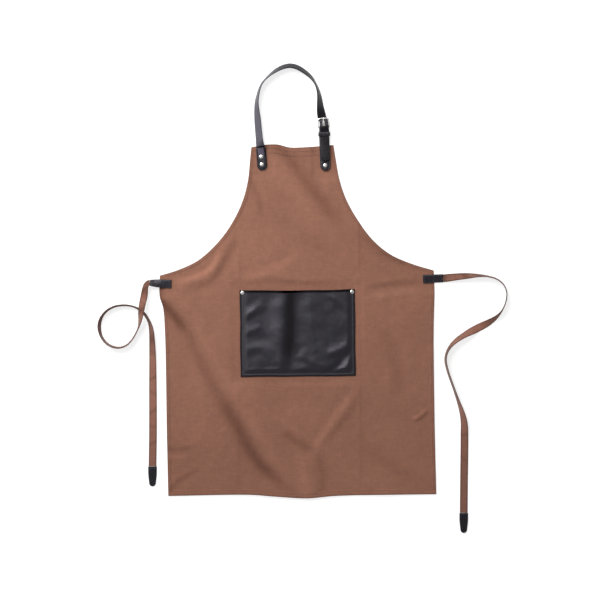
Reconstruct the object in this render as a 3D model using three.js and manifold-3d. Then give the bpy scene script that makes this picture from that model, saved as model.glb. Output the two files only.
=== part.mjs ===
// Butcher apron: a cotton canvas apron with leather straps, tabs and pocket.
// It lies flat with its front up. Millimetres, +X to the right, +Y towards the neck, +Z up out of the front.
// The origin is under the middle of the apron, on the surface that it lies on.
import * as THREE from 'three';
import { mergeVertices } from 'three/addons/utils/BufferGeometryUtils.js';
import Module from 'manifold-3d';

const wasm = await Module();
wasm.setup();

// ---- Driving dimensions ----
const GAP = 0.3; // clearance between pieces that touch on the real apron
const CANVAS = 1.6; // canvas panel, doubled at its hems
const LEATHER = 2.0; // buckle strap
const BACKING = 1.8; // leather under the neck strap's sewn end
const POCKET_LEATHER = 1.6;
const STRAP_WIDTH = 21;
const STRAP_THICKNESS = 2.4; // two plies
const TAPE_WIDTH = 18.5;
const TAPE_THICKNESS = 1.2;
const TAB_THICKNESS = 2.4;
const TIP_THICKNESS = 2.8;
const TIP_LENGTH = 48;
const POCKET_WIDTH = 276;
const POCKET_HEIGHT = 208;
const POCKET_PUFF = 5.2; // how far the pocket's front stands off the canvas
const POCKET_SEAM = 8; // sewn margin that lies flat
const CHAPE_WIDTH = 24;
const CHAPE_LENGTH = 103; // pivot bar to rounded end
const FRAME_WIDTH = 29;
const FRAME_REACH = 22; // pivot bar to outer bar
const WIRE = 1.25; // wire radius of the buckle
const RIVET_CAP = 4.6;
const RIVET_POST = 1.9;
const RIVET_HOLE = 2.3;
const BACK_CAP_HEIGHT = 0.7;
const SEGMENTS = 24; // round pieces

// ---- Heights of the layers ----
const ON_CANVAS = CANVAS + GAP;
const STRAP_END_BASE = ON_CANVAS + BACKING + GAP;
const STRAP_END_TOP = STRAP_END_BASE + STRAP_THICKNESS;
const CHAPE_TOP = ON_CANVAS + 2 * LEATHER + GAP;
const TAIL_BASE = CHAPE_TOP + GAP;
const BAR_HEIGHT = ON_CANVAS + LEATHER + GAP / 2; // pivot bar, level with the slit in the folded strap
const OUTER_BAR_HEIGHT = 7.2;
const FRAME_TILT = Math.atan((OUTER_BAR_HEIGHT - BAR_HEIGHT) / FRAME_REACH);

// ---- Places ----
const BUCKLE_AT = new THREE.Vector3(64.6, 366, 0); // under the middle of the pivot bar
const BUCKLE_TURN = THREE.MathUtils.degToRad(2.2); // the buckle strap leans to the right on its way down
const POCKET_AT = new THREE.Vector3(2, -126.5, 0);
const POCKET_TURN = THREE.MathUtils.degToRad(0.5);
const LEFT_RIVETS = [[-85.0, 296], [-83.6, 277.5]];
const CHAPE_RIVETS = [-71.5, -91]; // along the buckle strap, from the pivot bar
const POCKET_RIVET_INSET = 6.5; // from the pocket's edges

// ---- Materials ----
function finish(color, roughness, metalness = 0) {
  return new THREE.MeshStandardMaterial({ color, roughness, metalness });
}

const MATERIALS = {
  canvas: () => finish(0x90654f, 0.92),
  tape: () => finish(0x946c5c, 0.9),
  leather: () => finish(0x2b282e, 0.5),
  pocket: () => finish(0x333136, 0.4),
  nickel: () => finish(0xc9c8c4, 0.25, 1),
};

// ---- Solid helpers ----
function toSolid(geometry) {
  const bare = geometry.clone();
  bare.deleteAttribute('normal');
  bare.deleteAttribute('uv');
  const merged = mergeVertices(bare, 1e-4);
  return new wasm.Manifold(new wasm.Mesh({
    numProp: 3,
    vertProperties: Float32Array.from(merged.attributes.position.array),
    triVerts: Uint32Array.from(merged.index.array),
  }));
}

function toGeometry(solid) {
  const result = solid.getMesh();
  const geometry = new THREE.BufferGeometry();
  geometry.setAttribute('position', new THREE.BufferAttribute(result.vertProperties, 3));
  geometry.setIndex(new THREE.BufferAttribute(result.triVerts, 1));
  geometry.computeVertexNormals();
  return geometry;
}

function cut(base, tools) {
  return toGeometry(tools.reduce((solid, tool) => solid.subtract(toSolid(tool)), toSolid(base)));
}

function verticalCylinder(radius, low, high, x, y) {
  return new THREE.CylinderGeometry(radius, radius, high - low, SEGMENTS)
    .rotateX(Math.PI / 2)
    .translate(x, y, (low + high) / 2);
}

// A prism of the outline, standing from low to high.
function slab(shape, low, high, curveSegments = 3) {
  return new THREE.ExtrudeGeometry(shape, { depth: high - low, bevelEnabled: false, curveSegments })
    .translate(0, 0, low);
}

// A profile drawn in (y, z) and made width wide, centred on x = 0.
function sideProfile(shape, width, curveSegments = 8) {
  const geometry = new THREE.ExtrudeGeometry(shape, { depth: width, bevelEnabled: false, curveSegments });
  const drawnToWorld = new THREE.Matrix4().makeBasis(
    new THREE.Vector3(0, 1, 0),
    new THREE.Vector3(0, 0, 1),
    new THREE.Vector3(1, 0, 0),
  );
  return geometry.applyMatrix4(drawnToWorld).translate(-width / 2, 0, 0);
}

// ---- Ribbons: straps and tapes laid along a route ----
// Each route row is [x, y, roll, lift]. Roll, in degrees, raises the right-hand edge of the direction of
// travel, and lift is the height of the lowest edge over the ground.
function ribbonLine(route, width, thickness) {
  const plan = new THREE.CatmullRomCurve3(route.map(([x, y]) => new THREE.Vector3(x, y, 0)), false, 'centripetal');
  plan.arcLengthDivisions = 1200;
  const rowAt = (u, column) => {
    const place = plan.getUtoTmapping(u) * (route.length - 1);
    const index = Math.min(Math.floor(place), route.length - 2);
    return THREE.MathUtils.lerp(route[index][column], route[index + 1][column], place - index);
  };
  const rollAt = (u) => THREE.MathUtils.degToRad(rowAt(u, 2));
  const pointAt = (u) => {
    const roll = rollAt(u);
    const point = plan.getPointAt(u);
    point.z = rowAt(u, 3) + (width / 2) * Math.abs(Math.sin(roll)) + (thickness / 2) * Math.cos(roll);
    return point;
  };
  return { rollAt, pointAt, length: plan.getLength() };
}

function stationFrame(line, u) {
  const step = 0.5 / line.length;
  const ahead = line.pointAt(Math.min(1, u + step));
  const behind = line.pointAt(Math.max(0, u - step));
  const along = ahead.sub(behind).normalize();
  const side = along.clone().cross(new THREE.Vector3(0, 0, 1)).normalize();
  const up = side.clone().cross(along);
  const roll = line.rollAt(u);
  const across = side.clone().multiplyScalar(Math.cos(roll)).addScaledVector(up, Math.sin(roll));
  const normal = up.clone().multiplyScalar(Math.cos(roll)).addScaledVector(side, -Math.sin(roll));
  return { point: line.pointAt(u), across, normal };
}

// Half-width of an end that closes in a half circle, at a distance from the end.
function roundEnd(distance, radius) {
  return distance >= radius ? radius : Math.sqrt(Math.max(1, radius ** 2 - (radius - distance) ** 2));
}

const END_STEPS = [0, 0.04, 0.13, 0.3, 0.6];

function ribbon({ route, width, thickness, steps, lanes = 1, roundStart = false, roundFinish = false }) {
  const line = ribbonLine(route, width, thickness);
  const radius = width / 2;
  const low = roundStart ? radius : 0;
  const high = line.length - (roundFinish ? radius : 0);
  const distances = [
    ...(roundStart ? END_STEPS.map((share) => share * radius) : []),
    ...Array.from({ length: steps + 1 }, (_, i) => low + ((high - low) * i) / steps),
    ...(roundFinish ? END_STEPS.map((share) => line.length - share * radius).reverse() : []),
  ];
  const last = distances.length - 1;
  const frames = distances.map((distance) => stationFrame(line, distance / line.length));
  const halves = distances.map((distance) => Math.min(
    roundStart ? roundEnd(distance, radius) : radius,
    roundFinish ? roundEnd(line.length - distance, radius) : radius,
  ));
  const geometry = new THREE.BoxGeometry(2, 1, thickness, lanes, last, 1);
  const position = geometry.attributes.position;
  for (let i = 0; i < position.count; i += 1) {
    const row = Math.round((position.getY(i) + 0.5) * last);
    const { point, across, normal } = frames[row];
    const moved = point.clone()
      .addScaledVector(across, position.getX(i) * halves[row])
      .addScaledVector(normal, position.getZ(i));
    position.setXYZ(i, moved.x, moved.y, moved.z);
  }
  return geometry;
}

// ---- Canvas panel ----
const BIB_TOP = [[-109, 319], [-72, 325.4], [-46, 325.4], [-18, 318.2], [12, 318.3], [88, 324.5]];
const RIGHT_ARMHOLE = [[88, 324.5], [93, 293], [102.5, 240.5], [119, 192.5], [146, 144.5], [182, 96.5],
  [225, 61.5], [278, 38.5], [328.5, 23.5]];
const RIGHT_SIDE = [[328.5, 23.5], [330.5, -23.5], [328.3, -120], [330.5, -335], [334.8, -513.5]];
const HEM = [[334.8, -513.5], [200, -515], [92, -517.4], [25, -523], [-52, -519], [-112, -514.8], [-308.2, -517.7]];
const LEFT_SIDE = [[-308.2, -517.7], [-311.5, -371.5], [-316.3, -119.5], [-321, -65], [-329, -38], [-328.8, 10.8]];
const LEFT_ARMHOLE = [[-328.8, 10.8], [-285, 24.5], [-235, 48.5], [-184, 96.5], [-151, 144.5], [-129, 192.5],
  [-117, 240.5], [-112, 290], [-109, 319]];

function apronBody() {
  const shape = new THREE.Shape();
  shape.moveTo(...BIB_TOP[0]);
  for (const edge of [BIB_TOP, RIGHT_ARMHOLE, RIGHT_SIDE, HEM, LEFT_SIDE, LEFT_ARMHOLE]) {
    shape.splineThru(edge.slice(1).map(([x, y]) => new THREE.Vector2(x, y)));
  }
  const holes = rivetPlaces().flatMap(({ x, y }) => [
    verticalCylinder(RIVET_HOLE, -1, CANVAS + 1, x, y),
    verticalCylinder(RIVET_CAP + GAP, -1, BACK_CAP_HEIGHT + GAP, x, y),
  ]);
  return cut(slab(shape, 0, CANVAS), holes);
}

// ---- Pocket ----
function easeIn(distance, start, reach) {
  return THREE.MathUtils.smoothstep(distance, start, start + reach);
}

function pocket() {
  const halfWidth = POCKET_WIDTH / 2;
  const halfHeight = POCKET_HEIGHT / 2;
  const sag = 2; // the mouth dips a little between its rivets
  const ease = 26;
  const geometry = new THREE.BoxGeometry(POCKET_WIDTH, POCKET_HEIGHT, POCKET_LEATHER, 36, 24, 1);
  const position = geometry.attributes.position;
  for (let i = 0; i < position.count; i += 1) {
    const x = position.getX(i);
    const y = position.getY(i);
    const fromSide = halfWidth - Math.abs(x);
    const fromBottom = y + halfHeight;
    const lift = POCKET_PUFF * easeIn(fromSide, POCKET_SEAM + 4, ease) * easeIn(fromBottom, POCKET_SEAM, ease);
    const dip = sag * (1 - (x / halfWidth) ** 2) * easeIn(y, 0, halfHeight);
    position.setXYZ(i, x, y - dip, position.getZ(i) + ON_CANVAS + POCKET_LEATHER / 2 + lift);
  }
  return cut(geometry, pocketRivetsLocal().map(([x, y]) => verticalCylinder(RIVET_HOLE, 0, 12, x, y)));
}

function pocketRivetsLocal() {
  const x = POCKET_WIDTH / 2 - POCKET_RIVET_INSET;
  const y = POCKET_HEIGHT / 2 - POCKET_RIVET_INSET;
  return [[-x, y], [x, y]];
}

// ---- Neck strap ----
// From its riveted end on the left of the bib, round the loop, down through the buckle.
const NECK_ROUTE = [
  [-82.8, 268, 0, STRAP_END_BASE], [-83.6, 282, 0, STRAP_END_BASE], [-85.2, 302, 0, STRAP_END_BASE],
  [-86.4, 315, 5, STRAP_END_BASE], [-88.8, 331, 33, 2.6], [-91.4, 357, 39, 0.5],
  [-93.8, 384.5, 41, 0.5], [-96, 413, 60, 0.5], [-95.8, 428, 67, 0.5], [-93.4, 442, 73, 0.5],
  [-89.8, 456.5, 77, 0.5], [-83.5, 471, 79, 0.5], [-71.5, 485, 78, 0.5], [-52.8, 500, 70, 0.5],
  [-35, 509.5, 66, 0.5], [-17, 513.5, 63, 0.5], [0, 510, 63, 0.5], [16, 501, 64, 0.5],
  [34, 486, 72, 0.5], [44.4, 471, 79, 0.5], [50.4, 456.5, 74, 0.5], [54, 440, 62, 0.5],
  [56.2, 416, 42, 0.7], [58.2, 401, 16, 1.8],
];
// The same strap in the buckle's own frame: [x, y from the pivot bar, height of its lower face].
const THROUGH_BUCKLE = [
  [-3.4, 26, 1.8], [-1.9, 21.5, 2.1], [0.2, 16.5, 3.8], [0.9, 12, 5.8], [1, 6, 8], [1.6, 0, 8.4],
  [2.4, -10, TAIL_BASE],
  [2.4, -20, TAIL_BASE], [2, -42, TAIL_BASE], [1, -62, 8], [0.2, -71.5, 8.6], [-0.4, -80.5, 8.9],
];
const PRONG_SLOT = { from: 3.8, to: 16.6, width: 3.8 };
const SPARE_HOLE = 1.9; // radius of the other holes for the prong
const TAIL_HOLES = [-27, -52]; // along the tail, from the pivot bar

function fromBuckle(x, y) {
  return [
    BUCKLE_AT.x + x * Math.cos(BUCKLE_TURN) - y * Math.sin(BUCKLE_TURN),
    BUCKLE_AT.y + x * Math.sin(BUCKLE_TURN) + y * Math.cos(BUCKLE_TURN),
  ];
}

function neckStrap() {
  const tail = THROUGH_BUCKLE.map(([x, y, lift]) => [...fromBuckle(x, y), 0, lift]);
  const strap = ribbon({
    route: [...NECK_ROUTE, ...tail],
    width: STRAP_WIDTH,
    thickness: STRAP_THICKNESS,
    steps: 76,
    roundStart: true,
    roundFinish: true,
  });
  const slotLength = PRONG_SLOT.to - PRONG_SLOT.from;
  const slot = new THREE.BoxGeometry(PRONG_SLOT.width, slotLength, 20)
    .translate(0, PRONG_SLOT.from + slotLength / 2, 8)
    .rotateZ(BUCKLE_TURN)
    .translate(BUCKLE_AT.x, BUCKLE_AT.y, 0);
  const rivetHoles = LEFT_RIVETS.map(([x, y]) => verticalCylinder(RIVET_HOLE, 2, 12, x, y));
  const spareHoles = TAIL_HOLES.map((y) => verticalCylinder(SPARE_HOLE, 2, 14, ...fromBuckle(2.2, y)));
  return cut(strap, [slot, ...rivetHoles, ...spareHoles]);
}

// The leather that backs the riveted end of the neck strap on the bib.
function leftStrapBacking() {
  const plate = ribbon({
    route: [[-82.4, 263.4, 0, ON_CANVAS], [-84.2, 290, 0, ON_CANVAS], [-86, 316.5, 0, ON_CANVAS]],
    width: CHAPE_WIDTH,
    thickness: BACKING,
    steps: 6,
    roundStart: true,
  });
  return cut(plate, LEFT_RIVETS.map(([x, y]) => verticalCylinder(RIVET_HOLE, 0, 6, x, y)));
}

// ---- Buckle strap (chape), in the buckle's frame: pivot bar along x at y = 0 ----
function rightChape() {
  const inner = WIRE + 0.35;
  const outer = inner + LEATHER;
  const slit = GAP / 2;
  const merge = 8; // where the two plies meet below the bar
  const end = CHAPE_LENGTH;
  const profile = new THREE.Shape();
  profile.moveTo(-end, slit);
  profile.lineTo(-merge, slit);
  profile.lineTo(-inner, inner);
  profile.absarc(0, 0, inner, Math.PI * 0.75, -Math.PI * 0.75, true);
  profile.lineTo(-merge, -slit);
  profile.lineTo(-end, -slit);
  profile.lineTo(-end, -slit - LEATHER);
  profile.lineTo(-merge, -slit - LEATHER);
  profile.lineTo(-outer * 0.9, -outer * 0.8);
  profile.absarc(0, 0, outer, -Math.PI * 0.75, Math.PI * 0.75, false);
  profile.lineTo(-merge, slit + LEATHER);
  profile.lineTo(-end, slit + LEATHER);
  profile.closePath();
  const folded = toSolid(sideProfile(profile, CHAPE_WIDTH).translate(0, 0, BAR_HEIGHT));
  const half = CHAPE_WIDTH / 2;
  const halfAtBar = FRAME_WIDTH / 2 - 2 * WIRE - 0.7;
  const outline = new THREE.Shape();
  outline.moveTo(-half, -end + half);
  outline.absarc(0, -end + half, half, Math.PI, 2 * Math.PI, false);
  outline.lineTo(half, -12);
  outline.lineTo(halfAtBar, -5);
  outline.lineTo(halfAtBar, 8);
  outline.lineTo(-halfAtBar, 8);
  outline.lineTo(-halfAtBar, -5);
  outline.lineTo(-half, -12);
  outline.closePath();
  const tools = CHAPE_RIVETS.map((y) => verticalCylinder(RIVET_HOLE, -1, 14, 0, y));
  tools.push(new THREE.BoxGeometry(PRONG_SLOT.width, 12, 14).translate(0, 0, BAR_HEIGHT));
  const shaped = toGeometry(folded.intersect(toSolid(slab(outline, -2, 14, 10))));
  return cut(shaped, tools);
}

// ---- Buckle frame: a rounded wire ring lying in x and y, hinged on its lower side at y = 0 ----
function buckleFrame() {
  const corner = 6;
  const halfX = FRAME_WIDTH / 2 - WIRE;
  const path = new THREE.Shape();
  path.moveTo(-halfX, FRAME_REACH - corner);
  path.lineTo(-halfX, 2);
  path.quadraticCurveTo(-halfX, 0, -halfX + 2, 0);
  path.lineTo(halfX - 2, 0);
  path.quadraticCurveTo(halfX, 0, halfX, 2);
  path.lineTo(halfX, FRAME_REACH - corner);
  path.absarc(halfX - corner, FRAME_REACH - corner, corner, 0, Math.PI / 2, false);
  path.lineTo(-halfX + corner, FRAME_REACH);
  path.absarc(-halfX + corner, FRAME_REACH - corner, corner, Math.PI / 2, Math.PI, false);
  const stations = 56;
  const sides = 10;
  const geometry = new THREE.TorusGeometry(10, WIRE, sides, stations);
  const position = geometry.attributes.position;
  for (let i = 0; i < position.count; i += 1) {
    const station = i % (stations + 1);
    const around = (Math.floor(i / (stations + 1)) / sides) * 2 * Math.PI;
    const u = (station % stations) / stations;
    const point = path.getPointAt(u);
    const tangent = path.getTangentAt(u);
    const outward = WIRE * Math.cos(around);
    position.setXYZ(i, point.x + tangent.y * outward, point.y - tangent.x * outward, WIRE * Math.sin(around));
  }
  return geometry;
}

// ---- Buckle prong: an eye round the pivot bar and an arm that rests on the outer bar ----
function buckleProng() {
  const eye = 2.5;
  const bore = WIRE + 0.2;
  const half = 0.9;
  const restY = FRAME_REACH;
  const restZ = OUTER_BAR_HEIGHT - BAR_HEIGHT + WIRE + GAP + half;
  const rise = Math.atan2(restZ - 0.9, restY);
  const profile = new THREE.Shape();
  profile.absarc(0, 0, eye, rise + 0.75, rise - 0.05 + 2 * Math.PI, false);
  profile.lineTo(restY, restZ - half);
  profile.lineTo(restY + 1.6, restZ - half + 0.1);
  profile.lineTo(restY + 2.2, restZ);
  profile.lineTo(restY + 1.6, restZ + half);
  profile.lineTo(restY, restZ + half);
  profile.closePath();
  const hole = new THREE.Path();
  hole.absarc(0, 0, bore, 0, 2 * Math.PI, false);
  profile.holes.push(hole);
  return sideProfile(profile, 2.6, 20);
}

// ---- Keeper: a leather band round the buckle strap and the tail ----
const KEEPER = { at: -16, height: 9, wall: 1.2, low: 0.3, left: -13.8, right: 15 };

function keeperLoop() {
  const top = TAIL_BASE + STRAP_THICKNESS + GAP + KEEPER.wall;
  const corner = 1.4;
  const rounded = (left, right, low, high, Kind) => {
    const outline = new Kind();
    outline.moveTo(left + corner, low);
    outline.lineTo(right - corner, low);
    outline.quadraticCurveTo(right, low, right, low + corner);
    outline.lineTo(right, high - corner);
    outline.quadraticCurveTo(right, high, right - corner, high);
    outline.lineTo(left + corner, high);
    outline.quadraticCurveTo(left, high, left, high - corner);
    outline.lineTo(left, low + corner);
    outline.quadraticCurveTo(left, low, left + corner, low);
    return outline;
  };
  const band = rounded(KEEPER.left, KEEPER.right, KEEPER.low, top, THREE.Shape);
  const wall = KEEPER.wall;
  band.holes.push(new THREE.Path([
    new THREE.Vector2(KEEPER.left + wall, KEEPER.low + wall),
    new THREE.Vector2(KEEPER.right - wall, KEEPER.low + wall),
    new THREE.Vector2(KEEPER.right - wall, top - wall),
    new THREE.Vector2(KEEPER.left + wall, top - wall),
  ]));
  return new THREE.ExtrudeGeometry(band, { depth: KEEPER.height, bevelEnabled: false, curveSegments: 4 })
    .rotateX(Math.PI / 2)
    .translate(0, KEEPER.at + KEEPER.height / 2, 0);
}

// ---- Rivets: a domed cap with its post, and a flat back cap let into the canvas ----
function rivetPlaces() {
  const turned = pocketRivetsLocal().map(([x, y]) => [
    POCKET_AT.x + x * Math.cos(POCKET_TURN) - y * Math.sin(POCKET_TURN),
    POCKET_AT.y + x * Math.sin(POCKET_TURN) + y * Math.cos(POCKET_TURN),
  ]);
  const onPocket = ON_CANVAS + POCKET_LEATHER + GAP;
  const rows = [
    ['neck_left_upper', LEFT_RIVETS[0], STRAP_END_TOP + GAP],
    ['neck_left_lower', LEFT_RIVETS[1], STRAP_END_TOP + GAP],
    ['neck_right_upper', fromBuckle(0, CHAPE_RIVETS[0]), CHAPE_TOP + GAP],
    ['neck_right_lower', fromBuckle(0, CHAPE_RIVETS[1]), CHAPE_TOP + GAP],
    ['pocket_left', turned[0], onPocket],
    ['pocket_right', turned[1], onPocket],
  ];
  return rows.map(([name, [x, y], base]) => ({ name, x, y, base }));
}

function rivetFront(base) {
  const dome = 1.5;
  const points = [new THREE.Vector2(0, BACK_CAP_HEIGHT + GAP), new THREE.Vector2(RIVET_POST, BACK_CAP_HEIGHT + GAP)];
  points.push(new THREE.Vector2(RIVET_POST, base));
  points.push(new THREE.Vector2(RIVET_CAP, base));
  for (let i = 0; i < 5; i += 1) {
    const angle = (i / 5) * (Math.PI / 2);
    points.push(new THREE.Vector2(RIVET_CAP * Math.cos(angle), base + 0.3 + (dome - 0.3) * Math.sin(angle)));
  }
  points.push(new THREE.Vector2(0, base + dome));
  return new THREE.LatheGeometry(points, SEGMENTS).rotateX(Math.PI / 2);
}

function rivetBack() {
  const points = [[0, 0], [RIVET_CAP - 0.2, 0], [RIVET_CAP, 0.2], [RIVET_CAP, BACK_CAP_HEIGHT], [0, BACK_CAP_HEIGHT]];
  return new THREE.LatheGeometry(points.map(([r, z]) => new THREE.Vector2(r, z)), SEGMENTS).rotateX(Math.PI / 2);
}

// ---- Side tabs, waist ties and their tips ----
const TAB_BASE = ON_CANVAS;
const TAPE_AT_TAB = TAB_BASE + (TAB_THICKNESS - TAPE_THICKNESS) / 2;
const RIGHT_TAB = [[302.5, 2.6, 0, TAB_BASE], [326, 3.6, 0, TAB_BASE], [350, 4.6, 0, TAB_BASE]];
const LEFT_TAB = [[-300.8, -8.6, 0, TAB_BASE], [-318, -8.3, 0, TAB_BASE], [-332, -7.8, -14, TAB_BASE],
  [-350.6, -6.4, -46, 0.9]];
const RIGHT_TIE = [
  [350.9, 4.6, 0, TAPE_AT_TAB], [356, 4.9, 0, TAPE_AT_TAB], [376, 7.2, 22, 1.2], [403.7, 9.8, 38, 0.3], [433.7, 11, 66, 0.3],
  [456.2, 9.4, 79, 0.3], [478.8, 2.8, 82, 0.3], [493.7, -8.6, 83, 0.3], [501.8, -23.8, 83, 0.3],
  [503, -38.5, 83, 0.3], [499.7, -55.4, 83, 0.3], [491.5, -73, 78, 0.3], [479, -87.8, 62, 0.3],
  [462.2, -100, 36, 0.3], [433.7, -115.2, 0, 0.3], [403.7, -130.6, -46, 0.3], [381.1, -145.5, -59, 0.3],
  [367.7, -159.2, -71, 0.3], [359.2, -174.5, -79, 0.3], [356.4, -192, -83, 0.3], [361.7, -218, -82, 0.3],
  [375.4, -257.3, -79, 0.3], [387, -290, -72, 0.3], [396.5, -318.7, -53, 0.3], [401.2, -342, -33, 0.3],
  [402.2, -372, -9, 0.3], [401.3, -479.5, 0, 0.5], [400.6, -558.2, 0, 1.1],
];
const LEFT_TIE = [
  [-352.2, -6.3, -46, 2], [-355.8, -6.8, -46, 2.1], [-360.4, -11.4, -46, 3.4], [-363, -20, -37, 5.8],
  [-364.2, -30, -24, 8.5], [-365.6, -41, -18, 12.6],
  [-368.2, -55, -26, 17.5], [-371, -72, -34, 20], [-373.4, -87, -46, 14.5], [-375.8, -100.5, -63, 7],
  [-379.6, -114, -78, 1.6], [-386.2, -128.5, -83, 0.3], [-395.5, -143.5, -84, 0.3], [-408.2, -156, -84, 0.3],
  [-426, -161.8, -84, 0.3], [-444, -158.2, -84, 0.3], [-458.6, -148, -83, 0.3], [-468.8, -132.6, -77, 0.3],
  [-472.9, -114.4, -69, 0.3], [-471.6, -99.6, -71, 0.3], [-465, -84.7, -77, 0.3], [-452.2, -71.4, -82, 0.3],
  [-437, -63.6, -82, 0.3], [-419.5, -60.4, -82, 0.3], [-400.8, -61.2, -82, 0.3], [-385.4, -65.8, -78, 0.3],
  [-373.2, -73, -66, 0.3], [-363.7, -82.6, -66, 0.3], [-356.4, -94, -69, 0.3], [-350.8, -107.5, -58, 0.3],
  [-348.2, -122, -48, 0.3], [-346.8, -143, -40, 0.3], [-345.6, -182, -26, 0.3], [-345.1, -263.5, -8, 0.3],
  [-345.1, -371.5, 0, 0.5], [-346.1, -446.4, 0, 1.1],
];
const TIP_TAPER = 0.74; // width of a tip at its round end, over its width at the tape

function sideTab(route) {
  return ribbon({ route, width: 20, thickness: TAB_THICKNESS, steps: 6 });
}

function waistTie(route) {
  return ribbon({ route, width: TAPE_WIDTH, thickness: TAPE_THICKNESS, steps: 116, lanes: 3 });
}

// A tip lies along -y from the end of its tape.
function tieTip() {
  const half = 10.5;
  const far = half * TIP_TAPER;
  const outline = new THREE.Shape();
  outline.moveTo(-half, 0);
  outline.lineTo(-half, -TIP_LENGTH * 0.35);
  outline.lineTo(-far, -TIP_LENGTH + far);
  outline.absarc(0, -TIP_LENGTH + far, far, Math.PI, 2 * Math.PI, false);
  outline.lineTo(half, -TIP_LENGTH * 0.35);
  outline.lineTo(half, 0);
  outline.closePath();
  return slab(outline, GAP, GAP + TIP_THICKNESS, 10);
}

// ---- Assembly ----
const group = new THREE.Group();

function add(parent, name, geometry, material) {
  const mesh = new THREE.Mesh(geometry, MATERIALS[material]());
  mesh.name = name;
  parent.add(mesh);
  return mesh;
}

add(group, 'apron_body', apronBody(), 'canvas');

const pocketMesh = add(group, 'pocket', pocket(), 'pocket');
pocketMesh.position.copy(POCKET_AT);
pocketMesh.rotation.z = POCKET_TURN;

add(group, 'left_strap_backing', leftStrapBacking(), 'leather');
add(group, 'neck_strap', neckStrap(), 'leather');

const buckle = new THREE.Group();
buckle.position.copy(BUCKLE_AT);
buckle.rotation.z = BUCKLE_TURN;
group.add(buckle);
add(buckle, 'right_chape', rightChape(), 'leather');
add(buckle, 'keeper_loop', keeperLoop(), 'leather');
const frameMesh = add(buckle, 'buckle_frame', buckleFrame(), 'nickel');
frameMesh.position.z = BAR_HEIGHT;
frameMesh.rotation.x = FRAME_TILT;
add(buckle, 'buckle_prong', buckleProng(), 'nickel').position.z = BAR_HEIGHT;

for (const { name, x, y, base } of rivetPlaces()) {
  add(group, `rivet_${name}`, rivetFront(base), 'nickel').position.set(x, y, 0);
  add(group, `rivet_back_${name}`, rivetBack(), 'nickel').position.set(x, y, 0);
}

const SIDES = [
  { side: 'right', tab: RIGHT_TAB, tie: RIGHT_TIE },
  { side: 'left', tab: LEFT_TAB, tie: LEFT_TIE },
];
for (const { side, tab, tie } of SIDES) {
  add(group, `${side}_side_tab`, sideTab(tab), 'leather');
  add(group, `${side}_waist_tie`, waistTie(tie), 'tape');
  const [x, y] = tie[tie.length - 1];
  const tip = add(group, `${side}_tie_tip`, tieTip(), 'leather');
  tip.position.set(x, y - GAP, 0);
}

export default group;
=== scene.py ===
# Looks of the butcher apron: canvas, leather goods, metal fittings and waist ties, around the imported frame.
import math

import bmesh
import bpy
import numpy as np
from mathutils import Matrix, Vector


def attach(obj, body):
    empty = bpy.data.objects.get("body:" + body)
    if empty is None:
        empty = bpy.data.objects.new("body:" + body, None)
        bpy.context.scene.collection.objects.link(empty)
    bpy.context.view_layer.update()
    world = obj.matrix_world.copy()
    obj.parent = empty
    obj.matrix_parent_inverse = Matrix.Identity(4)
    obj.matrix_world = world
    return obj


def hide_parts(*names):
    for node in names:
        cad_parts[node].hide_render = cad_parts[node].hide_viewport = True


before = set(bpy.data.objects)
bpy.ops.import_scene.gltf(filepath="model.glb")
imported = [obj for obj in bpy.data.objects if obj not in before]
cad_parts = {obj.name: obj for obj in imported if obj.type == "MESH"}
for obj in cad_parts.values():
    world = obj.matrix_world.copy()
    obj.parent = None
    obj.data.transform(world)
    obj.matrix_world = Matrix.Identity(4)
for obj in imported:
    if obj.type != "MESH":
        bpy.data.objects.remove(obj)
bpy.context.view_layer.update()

MM = 0.001
ROOT = "apron"

# ---- Driving dimensions, metres ----
GAP = 0.3 * MM
CANVAS = 1.6 * MM  # at the hems
CLOTH = 1.0 * MM  # single canvas
LEATHER = 2.0 * MM
BACKING = 1.8 * MM
POCKET_LEATHER = 1.6 * MM
STRAP_WIDTH = 21 * MM
STRAP_THICKNESS = 2.4 * MM
TAPE_WIDTH = 18.5 * MM
TAPE_THICKNESS = 1.2 * MM
TAB_THICKNESS = 2.4 * MM
TIP_THICKNESS = 2.8 * MM
TIP_LENGTH = 48 * MM
POCKET_WIDTH = 276 * MM
POCKET_HEIGHT = 208 * MM
CHAPE_WIDTH = 24 * MM
CHAPE_LENGTH = 103 * MM
FRAME_WIDTH = 29 * MM
FRAME_REACH = 22 * MM
WIRE = 1.25 * MM
TAB_WIDTH = 20 * MM
TIP_WIDTH = 21 * MM
TIP_NARROWS = 5.4 * MM
TIP_ROUNDING = 7.8 * MM
STITCH_RADIUS = 0.3 * MM
STITCH_GAP = 0.55 * MM
SHARP_ANGLE = 40  # degrees between faces, from which an edge is drawn sharp

ON_CANVAS = CANVAS + GAP
STRAP_END_BASE = ON_CANVAS + BACKING + GAP
CHAPE_TOP = ON_CANVAS + 2 * LEATHER + GAP
TAIL_BASE = CHAPE_TOP + GAP
BAR_HEIGHT = ON_CANVAS + LEATHER + GAP / 2
OUTER_BAR_HEIGHT = 7.2 * MM
FRAME_TILT = math.atan((OUTER_BAR_HEIGHT - BAR_HEIGHT) / FRAME_REACH)
BUCKLE_AT = np.array([64.6, 366]) * MM
BUCKLE_TURN = math.radians(2.2)
ACROSS_BUCKLE = np.array([math.cos(BUCKLE_TURN), math.sin(BUCKLE_TURN), 0])
POCKET_AT = np.array([2, -126.5]) * MM
POCKET_TURN = math.radians(0.5)

RNG = np.random.default_rng(7)  # nudges each stitch a little


# ---- Camera, floor and light ----
VIEW_WIDTH = 1.44
VIEW_CENTRE = (7.7 * MM, -47.5 * MM)
LENS = 110
SENSOR = 36
WORLD_OVERHEAD = 0.1
WORLD_AT_HORIZON = 0.8
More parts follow.
